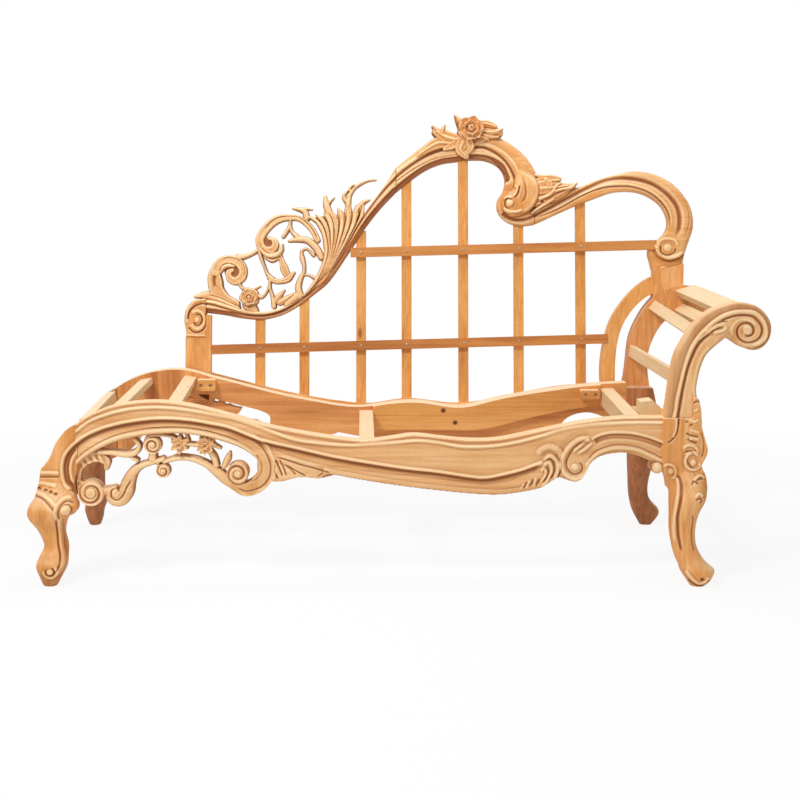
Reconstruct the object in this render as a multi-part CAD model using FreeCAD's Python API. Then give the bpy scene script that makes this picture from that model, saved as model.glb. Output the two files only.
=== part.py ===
import FreeCAD, Part
import math
import os

# Carved chaise longue frame in bare wood, millimetres.
# X runs along the seat, Y from the front rail to the back, Z up from the floor.

# Driving sizes
rail_thick = 45          # carved seat rails and leg blocks
seat_gap = 445           # clear distance between the front and rear rails
rear_rise = 18           # the rear carving sits this much higher than the front one
lean_tan = 0.12          # backward lean of the back, per unit of height
lean_base = 380          # height at which the back plane meets the rear rail's face
back_thick = 40          # crest, posts and arm boards
arm_thick = 45           # front arm board
arm_base = 412           # height of the joint between the arm boards and the legs
rear_leg_depth = 95      # the rear right leg block carries the rail and the arm board
carving_thick = 30       # pierced carvings
carving_set = 7          # pierced carvings are set back from the carved face
relief = 12              # applied leaf work stands proud of the crest by this much
flower_proud = 24        # crest flower stands proud of the crest by this much
slat_wide = 28           # back slats
slat_thick = 14
slat_set = 14            # back slats are set back from the face of the back
cross_slat_wide = 27
end_seat = 10            # slats reach this far into the frame
tenon_long = 16          # tenons of the seat cross members
tenon_share = 0.5        # a tenon is this share of its member each way
play = 0.2               # clearance round tenons and dowels
dowel_radius = 5
dowel_long = 60
screw_radius = 2
screw_head = 4.5
screw_head_deep = 2
screw_sink = 4           # screw heads sit this far below the face of the cleat
screw_long = 36
nail_radius = 1.5
nail_head = 3.2
nail_head_deep = 0.8
edge_round = 1.5
petals = 5               # petals of every carved flower

# Places along X
left_joint = -788
right_joint = 648
rear_left_joint = -771
rear_arch_joint = -511
center_rail_x = -77
right_rail_x = 576
right_rail_rear_x = 593  # the right cross rail runs slightly out of square
slat_positions = [-377, -252, -91, 38, 199, 356, 532]
seat_slat_positions = [(-686, -690), (-550, -566)]
left_cleat = (-521, 423, 53, 31)     # x and height of its middle, width and depth
right_cleat = (541, 400, 54, 24)
post_left = -587
post_right = -516
lower_cross_run = (post_right, 606, 120, 151)    # ends in x, and places up the slope there
upper_cross_run = (-121, 745, 395, 417)
volute_joint = 303
volute_left = -345
volute_right = -302
crest_joint_left = 8
crest_joint_right = 400

# Cross members of the seat
cross_wide = 38
cross_deep = 45
seat_slat_wide = 34
seat_slat_thick = 18
end_rail_wide = 26
end_rail_deep = 38
end_rail_top = 402
end_rail_front_x = -774
end_rail_rear_x = -788
end_rail_slope = 8
liner_thick = 18
right_rail_wide = 37
right_rail_top = 412
side_rail_x = 682
side_rail_wide = 40
side_rail_top = 362
side_rail_deep = 70
arm_slat_thick = 17
arm_block_deep = 55
cleat_thick = 26
cleat_round = 5
post_block_top = 169     # joint between the left post and its carved block
tack_strip = 14          # plain strip for the upholstery tacks beside the post
bottom_rail_deep = 52
bottom_rail_thick = 32
stile_set = 2
stile_thick = 32
post_foot = -70

# Derived planes
rail_back = rail_thick
rear_face = rail_thick + seat_gap
rear_back = rear_face + rail_thick
lean_angle = math.degrees(math.atan(lean_tan))

# Outlines in the plane of the front rail, as x and z
front_top = [(left_joint, 393), (-751, 417), (-702, 437), (-641, 448), (-580, 450), (-507, 441),
             (-410, 417), (-313, 389), (-216, 370), (-118, 356), (-70, 354), (-10, 362), (40, 368),
             (113, 360), (175, 355), (247, 358), (344, 378), (441, 398), (539, 410), (right_joint, arm_base)]
rear_top = [(rear_left_joint, 414), (-707, 447), (-650, 461), (-579, 462), (-512, 444), (-429, 423),
            (-317, 394), (-206, 372), (-125, 360), (-80, 360), (17, 373), (87, 372), (171, 360),
            (213, 363), (268, 377), (352, 394), (435, 407), (574, 423), (right_joint, arm_base + 15)]
opening_edge = [(-350, 313), (-386, 337), (-447, 358), (-520, 371), (-605, 369),
                (-679, 355), (-728, 335), (-770, 308), (left_joint, 290)]
rear_opening_edge = [(-347, 334), (-361, 344), (-398, 356), (-445, 368), (rear_arch_joint, 386)]
rear_arch_edge = [(rear_arch_joint, 393), (-560, 392), (-605, 375), (-640, 345), (-675, 320), (-700, 290),
                  (-714, 262), (-735, 240), (-755, 226), (rear_left_joint, 220)]
right_arch = [(right_joint, 290), (613, 306), (569, 322), (530, 324), (491, 315), (468, 296), (460, 280)]
rear_right_arch = [(right_joint, 306), (613, 322), (584, 332), (548, 343), (520, 342), (487, 330), (460, 296)]
lower_edge = [(460, 280), (443, 257), (424, 254), (394, 263), (375, 256), (350, 239), (309, 229),
              (248, 221), (185, 223), (102, 231), (4, 243), (-91, 258), (-155, 270)]
leaf_edge = [(-155, 270), (-192, 261), (-240, 264), (-282, 254), (-309, 254)]


def at(x, y, z):
    return FreeCAD.Vector(x, y, z)


def spline_edge(points, y):
    curve = Part.BSplineCurve()
    curve.interpolate([at(x, y, z) for x, z in points])
    return curve.toShape()


def run_edge(points, y):
    if len(points) == 2:
        (x0, z0), (x1, z1) = points
        return Part.LineSegment(at(x0, y, z0), at(x1, y, z1)).toShape()
    return spline_edge(points, y)


def board(runs, front, thick):
    """Board cut to an outline. Each run is a smooth stretch, and runs meet at corners."""
    edges = []
    for run in runs:
        edges.append(run_edge(run, front))
    face = Part.Face(Part.Wire(edges))
    return face.extrude(at(0, thick, 0))


def stroke(spine, halves, front, thick):
    """Carved strap that follows a spine, with its half width given at each point."""
    left = []
    right = []
    last = len(spine) - 1
    for i, (x, z) in enumerate(spine):
        before = spine[max(i - 1, 0)]
        after = spine[min(i + 1, last)]
        dx = after[0] - before[0]
        dz = after[1] - before[1]
        size = math.hypot(dx, dz)
        nx = -dz / size * halves[i]
        nz = dx / size * halves[i]
        left.append((x + nx, z + nz))
        right.append((x - nx, z - nz))
    cap_end = cap(left[-1], right[-1], spine[-1], spine[-2], halves[-1], front)
    cap_start = cap(right[0], left[0], spine[0], spine[1], halves[0], front)
    edges = [run_edge(left, front), cap_end, run_edge(right[::-1], front), cap_start]
    face = Part.Face(Part.Wire(edges))
    return face.extrude(at(0, thick, 0))


def cap(start, stop, end, inner, half, y):
    """Rounded end of a strap."""
    dx = end[0] - inner[0]
    dz = end[1] - inner[1]
    size = math.hypot(dx, dz)
    tip = at(end[0] + dx / size * half, y, end[1] + dz / size * half)
    return Part.Arc(at(start[0], y, start[1]), tip, at(stop[0], y, stop[1])).toShape()


def disc(x, z, radius, front, thick):
    return Part.makeCylinder(radius, thick, at(x, front, z), at(0, 1, 0))


def flower(x, z, radius, front, thick):
    """Rosette with a round heart and a ring of petals."""
    shape = disc(x, z, radius * 0.55, front, thick)
    for k in range(petals):
        turn = math.radians(90 + 360 / petals * k)
        px = x + radius * 0.55 * math.cos(turn)
        pz = z + radius * 0.55 * math.sin(turn)
        shape = shape.fuse(disc(px, pz, radius * 0.45, front, thick))
    return shape


def join(shapes):
    whole = shapes[0].fuse(shapes[1:])
    return whole.removeSplitter()


def clear_of(shape, others):
    """Cuts neighbours, pockets or holes out of a shape, so that pieces meet face to face."""
    for other in others:
        if shape.BoundBox.intersect(other.BoundBox):
            shape = shape.cut(other)
    return biggest(shape)


def biggest(shape):
    return max(shape.Solids, key=lambda solid: solid.Volume)


def height_on(points, x):
    """Height of an outline's top edge at a place along the rail."""
    ordered = sorted(points)
    for (x0, z0), (x1, z1) in zip(ordered, ordered[1:]):
        if x0 <= x <= x1:
            return z0 + (z1 - z0) * (x - x0) / (x1 - x0)
    return ordered[0][1] if x < ordered[0][0] else ordered[-1][1]


def box(x0, x1, y0, y1, z0, z1):
    return Part.makeBox(x1 - x0, y1 - y0, z1 - z0, at(x0, y0, z0))


def lean(shape):
    """Moves a piece drawn flat into the leaning plane of the back."""
    shape = shape.copy()
    shape.rotate(at(0, 0, 0), at(1, 0, 0), -lean_angle)
    shape.translate(at(0, rear_back, lean_base))
    return shape


def back_depth(z):
    """Y of the face of the back at a height."""
    return rear_back + (z - lean_base) * lean_tan


def along(height):
    """Distance up the leaning plane for a height above the floor."""
    return (height - lean_base) / math.cos(math.radians(lean_angle))


def eased(shape, direction, radius=edge_round):
    """Rounds the edges of a plain piece that run in one direction."""
    nearly_parallel = 0.99
    chosen = []
    for edge in shape.Edges:
        run = edge.Vertexes[1].Point - edge.Vertexes[0].Point
        if abs(run.normalize().dot(direction)) > nearly_parallel:
            chosen.append(edge)
    return shape.makeFillet(radius, chosen)


# Fastenings gather here while the joints are made
dowels = []
dowel_holes = []
pockets = []


def add_dowel(x, y, z, direction):
    start = at(x, y, z) - direction * (dowel_long / 2)
    hole_start = at(x, y, z) - direction * (dowel_long / 2 + play)
    dowels.append(Part.makeCylinder(dowel_radius, dowel_long, start, direction))
    hole = Part.makeCylinder(dowel_radius + play, dowel_long + play * 2, hole_start, direction)
    dowel_holes.append(hole)


def bar(ends, wide, low, high, slope, reach=0):
    """Bar from the front to the back with square ends. Its section slopes up to the right."""
    start, end = ends
    run = end - start
    spare = run * (reach / run.y)
    across = at(math.cos(math.radians(slope)), 0, math.sin(math.radians(slope)))
    up = at(-across.z, 0, across.x)
    corners = []
    for side, height in ((-wide / 2, low), (wide / 2, low), (wide / 2, high), (-wide / 2, high)):
        corners.append(start - spare + across * side + up * height)
    return Part.Face(Part.makePolygon(corners + corners[:1])).extrude(run + spare * 2)


def cross_member(ends, wide, deep, slope, reach, neighbours=()):
    """Member on stub tenons, between points on its top. Its pockets are kept for the pieces it enters."""
    start, end = ends
    body = eased(bar(ends, wide, -deep, 0, slope), (end - start).normalize())
    tenon_wide = wide * tenon_share
    tenon_deep = deep * tenon_share
    foot = -(deep + tenon_deep) / 2
    head = foot + tenon_deep
    tenon = bar(ends, tenon_wide, foot, head, slope, reach)
    pockets.append(bar(ends, tenon_wide + play * 2, foot - play, head + play, slope, reach + play))
    return join([clear_of(body, neighbours), tenon])


def seat_member(x, top, wide, deep, slope=0, rear_x=None):
    """Cross member between the front and rear rails."""
    ends = [at(x, rail_back, top), at(x if rear_x is None else rear_x, rear_face, top)]
    return cross_member(ends, wide, deep, slope, tenon_long)


def leg_section(z, x, y, half_x, half_y):
    """Rounded square section of a leg."""
    count = 12
    power = 2.6
    points = []
    for k in range(count):
        turn = 2 * math.pi * k / count
        c = math.cos(turn)
        s = math.sin(turn)
        px = x + half_x * math.copysign(abs(c) ** (2 / power), c)
        py = y + half_y * math.copysign(abs(s) ** (2 / power), s)
        points.append(at(px, py, z))
    curve = Part.BSplineCurve()
    curve.interpolate(Points=points, PeriodicFlag=True)
    return Part.Wire(curve.toShape())


def leg_shaft(sections):
    return Part.makeLoft([leg_section(*values) for values in sections], True, False)


# Seat

def make_front_left_leg():
    block = board([[(left_joint, 394), (-812, 379), (-835, 350), (-849, 317), (-861, 299), (-873, 284),
                    (-878, 255), (-889, 215)],
                   [(-889, 215), (-790, 215)],
                   [(-790, 215), (-792, 250), (left_joint, 290)],
                   [(left_joint, 290), (left_joint, 394)]], -6, rail_thick + 6)
    shaft = leg_shaft([(0, -852, -10, 17, 18), (22, -850, -12, 27, 28), (48, -848, -10, 38, 36),
                       (72, -843, -4, 35, 31), (98, -838, 2, 30, 27), (133, -849, 4, 34, 30),
                       (167, -856, 0, 50, 40), (192, -844, -2, 60, 44), (222, -838, 12, 49, 34)])
    small_scroll = disc(-800, 192, 18, -6, 36)
    return join([block, shaft, small_scroll])


def between(low, high, points):
    """Places points given by x and their share of the way from one height to another."""
    return [(x, low + (high - low) * share) for x, share in points]


def make_front_right_leg():
    waist = 293
    side = between(waist, arm_base, [(731, 1), (736, 0.86), (747, 0.53), (753, 0.3), (738, 0)])
    block = board([[(right_joint, arm_base), side[0]],
                   side,
                   [side[-1], (750, 268), (755, 235)],
                   [(755, 235), (660, 235)],
                   [(660, 235), (659, 262), right_arch[0]],
                   [right_arch[0], (right_joint, arm_base)]], -10, rail_thick + 10)
    shaft = leg_shaft([(0, 731, -12, 17, 18), (15, 734, -13, 30, 27), (38, 731, -10, 42, 33),
                       (52, 722, -7, 37, 32), (70, 710, -3, 33, 30), (100, 699, 0, 30, 28),
                       (138, 695, 2, 32, 30), (175, 698, 0, 36, 33), (212, 706, 0, 45, 40),
                       (245, 708, 10, 46, 34)])
    leaf_spine = raised([(726, -12), (727, 18), (721, 47)], arm_base)
    leaf_tip = stroke(leaf_spine, [10, 6, 4], -10, 10)
    return join([block, shaft, leaf_tip])


def make_rear_left_leg():
    """The rear legs splay backwards to stand under the leaning back."""
    top = rear_top[0]
    foot = rear_arch_edge[-1]
    block = board([[top, (-810, 390), (-838, 352), (-855, 310), (-872, 288), (-880, 240)],
                   [(-880, 240), (-850, 205)],
                   [(-850, 205), (-812, 205)],
                   [(-812, 205), (-798, 207), foot],
                   [foot, top]], rear_face, rail_thick)
    mid = rear_face + rail_thick / 2
    shaft = leg_shaft([(0, -859, mid + 88, 16, 20), (24, -859, mid + 86, 24, 28),
                       (48, -858, mid + 78, 28, 30), (75, -850, mid + 66, 30, 28),
                       (115, -848, mid + 44, 28, 27), (160, -850, mid + 18, 34, 30),
                       (200, -848, mid + 4, 38, 30), (262, -838, mid, 38, 21)])
    return join([block, shaft])


def make_rear_right_leg():
    block = board([[(right_joint, arm_base), (722, arm_base)],
                   [(722, arm_base), (734, 350), (738, 300), (740, 240)],
                   [(740, 240), (664, 240)],
                   [(664, 240), (660, 270), (right_joint, 300)],
                   [(right_joint, 300), (right_joint, arm_base)]], rear_face, rear_leg_depth)
    mid = rear_face + rear_leg_depth / 2
    shaft = leg_shaft([(0, 731, mid + 70, 17, 20), (15, 733, mid + 72, 27, 27), (42, 730, mid + 68, 38, 32),
                       (62, 718, mid + 60, 33, 30), (85, 707, mid + 52, 28, 28), (125, 701, mid + 36, 28, 29),
                       (165, 700, mid + 18, 32, 34), (210, 702, mid + 5, 38, 42), (260, 702, mid, 36, 40)])
    return join([block, shaft])


def raised(points, rise):
    return [(x, z + rise) for x, z in points]


def rail_outline(top, opening, arch, rise):
    """Closed outline of a carved rail. The lower edge is one template for both rails."""
    lower = [arch[-1]] + raised(lower_edge[1:], rise)
    leaf = raised(leaf_edge, rise)
    shoulder = volute_joint + rise
    return [top, [top[-1], arch[0]], arch, lower, leaf,
            [leaf[-1], (volute_right, shoulder)],
            [(volute_right, shoulder), (volute_left, shoulder)],
            [(volute_left, shoulder)] + opening, [opening[-1], top[0]]]


def make_front_rail():
    plank = board(rail_outline(front_top, opening_edge, right_arch, 0), 0, rail_thick)
    knob = disc(631, 288, 14, 0, carving_thick)
    return join([plank, knob])


def make_volute(front, rise):
    """Glued block that carries the big volute."""
    shoulder = volute_joint + rise
    spine = [(-323, 291), (-323, 280), (-332, 258), (-352, 240), (-376, 234), (-402, 246)]
    band = stroke(raised(spine, rise), [21, 21, 20, 18, 16, 13], front, rail_thick)
    top = box(volute_left, volute_right, front, front + rail_thick, 282 + rise, shoulder)
    eye = disc(-393, 273 + rise, 27, front, rail_thick)
    above = box(volute_left - 20, volute_right + 20, front, front + rail_thick, shoulder, shoulder + 50)
    return clear_of(join([band, top, eye]), [above])


def straps(lines, front, thick):
    """Carved straps from (spine, half widths) pairs."""
    return [stroke(spine, halves, front, thick) for spine, halves in lines]


def make_front_fretwork():
    """Pierced carving under the left arch: scrolls, leaves, flowers and the long arch strap."""
    front = carving_set
    thick = carving_thick
    lines = [
        ([(-574, 300), (-557, 305), (-538, 310), (-516, 309), (-491, 303), (-466, 291), (-444, 274),
          (-424, 257), (-404, 242)], [6, 7, 8, 8, 9, 10, 13, 14, 12]),
        ([(-576, 306), (-604, 299), (-630, 290), (-655, 276), (-677, 258), (-690, 238)],
         [7, 8, 9, 14, 20, 22]),
        ([(-735, 224), (-705, 228)], [12, 12]),
        ([(-784, 272), (-786, 250), (-772, 236)], [9, 10, 12]),
        ([(-792, 256), (-784, 286), (-766, 306), (-738, 313), (-716, 302), (-716, 284)],
         [10, 13, 15, 14, 11, 6]),
        ([(-732, 325), (-700, 323), (-665, 318), (-643, 324), (-634, 340), (-645, 356)],
         [8, 8, 9, 8, 6, 5]),
        ([(-652, 310), (-640, 303)], [6, 6]),
        ([(-601, 326), (-602, 306)], [10, 12]),
        ([(-622, 345), (-612, 362), (-590, 367), (-557, 363), (-535, 351)], [4, 5, 5, 5, 5]),
        ([(-578, 309), (-589, 296), (-585, 283)], [5, 5, 5]),
        ([(-520, 344), (-490, 341)], [6, 6]),
        ([(-521, 374), (-514, 352)], [4, 5]),
        ([(-452, 362), (-455, 345), (-436, 333)], [4, 6, 4]),
        ([(-463, 328), (-452, 312), (-446, 292)], [8, 9, 9]),
        ([(-427, 288), (-418, 306), (-412, 322)], [7, 9, 3]),
    ]
    knobs = [(-690, 229, 29), (-754, 223, 33), (-601, 342, 22), (-576, 278, 18)]
    pieces = straps(lines, front, thick)
    for x, z, radius in knobs:
        pieces.append(disc(x, z, radius, front, thick))
    pieces.append(flower(-535, 344, 21, front, thick))
    pieces.append(flower(-472, 342, 23, front, thick))
    return join(pieces)


def make_rear_fretwork():
    """Pierced leaf work under the left arch of the rear rail."""
    lines = [
        ([(-596, 392), (-570, 374), (-530, 366), (-490, 356), (-455, 348)], [14, 11, 10, 12, 10]),
        ([(-565, 396), (-540, 380), (-505, 366)], [9, 6, 5]),
        ([(-508, 392), (-510, 372)], [7, 7]),
        ([(-478, 382), (-484, 362)], [9, 10]),
        ([(-462, 352), (-440, 346), (-428, 352)], [12, 10, 3]),
    ]
    return join(straps(lines, rear_back - carving_set - carving_thick, carving_thick))


def make_rear_rail():
    """Long rear rail, from the post to the rear right leg."""
    top = [(rear_arch_joint, height_on(rear_top, rear_arch_joint))] + rear_top[5:]
    return board(rail_outline(top, rear_opening_edge, rear_right_arch, rear_rise), rear_face, rail_thick)


def make_rear_arch():
    """Short board with upright grain between the rear left leg and the long rear rail."""
    top = rear_top[:4] + [(-548, 455), (rear_arch_joint, height_on(rear_top, rear_arch_joint))]
    edge = rear_arch_edge
    return board([top, [top[-1], edge[0]], edge, [edge[-1], top[0]]], rear_face, rail_thick)


def make_liner():
    """Thin board glued inside the rear rail, right of the centre cross rail."""
    left = center_rail_x + cross_wide / 2
    right = right_rail_rear_x - right_rail_wide / 2
    top = [(left, height_on(rear_top, left))]
    for point in rear_top:
        if left < point[0] < right:
            top.append(point)
    top.append((right, height_on(rear_top, right)))
    foot = 297
    bottom = [(right, 367), (464, 350), (352, 325), (270, 304), (174, foot)]
    return board([top, [top[-1], bottom[0]], bottom, [bottom[-1], (left, foot)],
                  [(left, foot), top[0]]], rear_face - liner_thick, liner_thick)


def make_center_rail():
    top = height_on(front_top, center_rail_x) - 4
    return seat_member(center_rail_x, top, cross_wide, cross_deep)


def make_right_rail():
    return seat_member(right_rail_x, right_rail_top, right_rail_wide, cross_deep, 0, right_rail_rear_x)


def make_seat_slat(x, rear_x):
    """Slat that follows the slope of the rail's top edge."""
    reach = 15
    top = height_on(front_top, x) - 1
    rise = height_on(front_top, x + reach) - height_on(front_top, x - reach)
    slope = math.degrees(math.atan2(rise, reach * 2))
    return seat_member(x, top, seat_slat_wide, seat_slat_thick, slope, rear_x)


def make_end_rail():
    """Narrow rail at the foot end. It runs slightly out of square."""
    return seat_member(end_rail_front_x, end_rail_top, end_rail_wide, end_rail_deep, end_rail_slope,
                       end_rail_rear_x)


def make_side_rail():
    return seat_member(side_rail_x, side_rail_top, side_rail_wide, side_rail_deep)


def make_arm_block():
    """Bevelled block that stiffens the corner between the front rail and the arm."""
    left = right_joint - 50
    right = right_joint + 12
    foot = arm_base - 27
    top_left = (left, arm_base + 31)
    top_middle = (left + 30, arm_base + 35)
    top_right = (right, arm_base + 6)
    return board([[(left, foot), top_left], [top_left, top_middle], [top_middle, top_right],
                  [top_right, (right, foot)], [(right, foot), (left, foot)]], rail_back, arm_block_deep)


# Arm

# Outlines of the arm boards, as x and height above their joint with the legs
arm_outer = raised([(right_joint, 0), (655, 31), (661, 80), (672, 144), (688, 180), (714, 222), (742, 251),
                    (776, 270), (809, 279), (836, 279), (863, 273), (885, 256), (899, 234), (902, 212),
                    (896, 189), (880, 171), (857, 165), (829, 173)], arm_base)
arm_inner = raised([(793, 197), (760, 169), (743, 149), (730, 113), (723, 67), (729, 33), (731, 0)], arm_base)
rear_arm_inner = raised([(793, 197), (771, 184), (743, 150), (728, 119), (718, 83), (717, 47), (722, 0)],
                        arm_base)
arm_top = arm_outer[:9]


def arm_board(inner, front, thick):
    return board([arm_outer, [arm_outer[-1], inner[0]], inner, [inner[-1], arm_outer[0]]], front, thick)


def make_arm_front():
    return arm_board(arm_inner, 0, arm_thick)


def make_back_slab():
    """Leaning slab behind the arm, as thick as the back and larger than the arm board."""
    spare = 200
    return lean(box(right_joint - spare, right_joint + 2 * spare, 0, back_thick, -spare, 3 * spare))


def make_arm_rear(slab):
    """Same outer edge as the front arm board, cut to lean with the back."""
    blank_thick = 300
    plumb = arm_board(rear_arm_inner, rear_face, blank_thick)
    return biggest(plumb.common(slab))


# Each arm slat: x and height of its outer face in front, above the joint with the legs,
# width and slope of the section, and how far its rear end lies to the right and up
arm_slat_spots = [(803, 272, 59, 16, 22, 3), (741, 241, 30, 40, 66, -20), (714, 213, 30, 49, 16, 15),
                  (669, 97, 32, 80, -4, 1)]


def make_arm_slat(x, above, wide, slope, skew, rise, slab):
    """Slat between the arm boards, near their outer edge. Its rear end is scribed to the lean."""
    z = arm_base + above
    spare = wide * lean_tan
    ends = [at(x, arm_thick, z), at(x + skew, back_depth(z + rise) + spare, z + rise)]
    return cross_member(ends, wide, arm_slat_thick, slope, end_seat, [slab])


# Back, drawn flat as x and distance up the slope, then leaned

crest_lower_left = [(-530, 238), (-476, 231), (-434, 223), (-383, 218), (-349, 222), (-310, 234), (-267, 258),
                    (-222, 292), (-179, 330), (-123, 412), (-80, 478), (-38, 532), (crest_joint_left, 581)]
crest_upper_left = [(-530, 276), (-500, 272), (-462, 259), (-420, 246), (-377, 241), (-335, 246), (-286, 266),
                    (-236, 302), (-200, 338), (-165, 381), (-123, 449), (-94, 501), (-66, 543), (-30, 592),
                    (crest_joint_left, 650)]
crest_lower_mid = [(crest_joint_left, 581), (49, 614), (93, 644), (136, 662), (180, 669), (224, 674),
                   (266, 671), (302, 652), (318, 620), (314, 587), (298, 560), (296, 532), (310, 508),
                   (334, 492), (365, 485), (crest_joint_right, 489)]
crest_outer_mid = [(crest_joint_left, 650), (48, 684), (90, 716), (133, 737), (180, 748), (230, 749),
                   (275, 744), (318, 728), (366, 693), (394, 657), (411, 623), (418, 590), (413, 555),
                   (crest_joint_right, 532)]
arch_outer = [(crest_joint_right, 526), (430, 543), (473, 569), (530, 597), (587, 618), (644, 634),
              (678, 640), (715, 638), (745, 630), (776, 616), (804, 595), (826, 569), (843, 540),
              (851, 505), (850, 476), (842, 450), (830, 415), (822, 378)]
arch_inner = [(737, 356), (731, 380), (725, 410), (734, 436), (755, 448), (772, 465), (781, 487),
              (779, 510), (766, 538), (746, 558), (716, 575), (686, 583), (650, 584), (617, 579),
              (573, 563), (530, 547), (473, 522), (430, 502), (crest_joint_right, 489)]
bottom_rail_top = [(post_right, 70), (-397, 39), (-264, 8), (-123, -14), (-70, -17), (24, -4), (60, -4),
                   (110, -10), (170, -16), (230, -12), (300, 0), (440, 28), (517, 37), (645, 42)]
stile_outer = [(587, 38), (588, 110), (598, 165), (616, 221), (636, 255), (654, 279), (688, 314), (735, 343)]
stile_inner = [(735, 293), (703, 273), (672, 241), (650, 206), (633, 153), (627, 104), (625, 38)]


def ring(outer, inner, front=0, thick=back_thick):
    """Board between two long curved edges that run opposite ways."""
    return board([outer, [outer[-1], inner[0]], inner, [inner[-1], outer[0]]], front, thick)


def make_left_post():
    shoulder = post_right - tack_strip
    return board([[(post_left, post_foot), (post_left, post_block_top)],
                  [(post_left, post_block_top), (shoulder, post_block_top)],
                  [(shoulder, post_block_top), (shoulder, 233)],
                  [(shoulder, 233), (post_right, 232)],
                  [(post_right, 232), (post_right, post_foot)],
                  [(post_right, post_foot), (post_left, post_foot)]], 0, back_thick)


def make_left_volute():
    """Carved block on top of the left post, ending in a volute."""
    right = post_right - tack_strip
    left = post_left + 2
    proud = 4
    return board([[(right, post_block_top), (left, post_block_top)],
                  [(left, post_block_top), (left, 186)],
                  [(left, 186), (left - 5, 215), (left - 1, 245), (-566, 272), (right, 278)],
                  [(right, 278), (right, post_block_top)]], -proud, back_thick + proud)


def make_crest_left():
    return ring(crest_lower_left, crest_upper_left[::-1])


def make_crest_center():
    return ring(crest_outer_mid, crest_lower_mid[::-1])


def make_crest_arch():
    return ring(arch_outer, arch_inner)


def make_right_post():
    left = arch_inner[0]
    right = arch_outer[-1]
    foot_left = (left[0] - 3, along(height_on(arm_top, left[0])) - 4)
    foot_right = (right[0] - 2, along(height_on(arm_top, right[0])))
    return board([[left, right], [right, foot_right], [foot_right, foot_left], [foot_left, left]],
                 0, back_thick)


def make_bottom_rail():
    lower = [(x, s - bottom_rail_deep) for x, s in bottom_rail_top[::-1]]
    return ring(bottom_rail_top, lower, 0, bottom_rail_thick)


def make_stile():
    """Curved board between the foot of the back and the right post."""
    return ring(stile_outer, stile_inner, stile_set, stile_thick)


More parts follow.
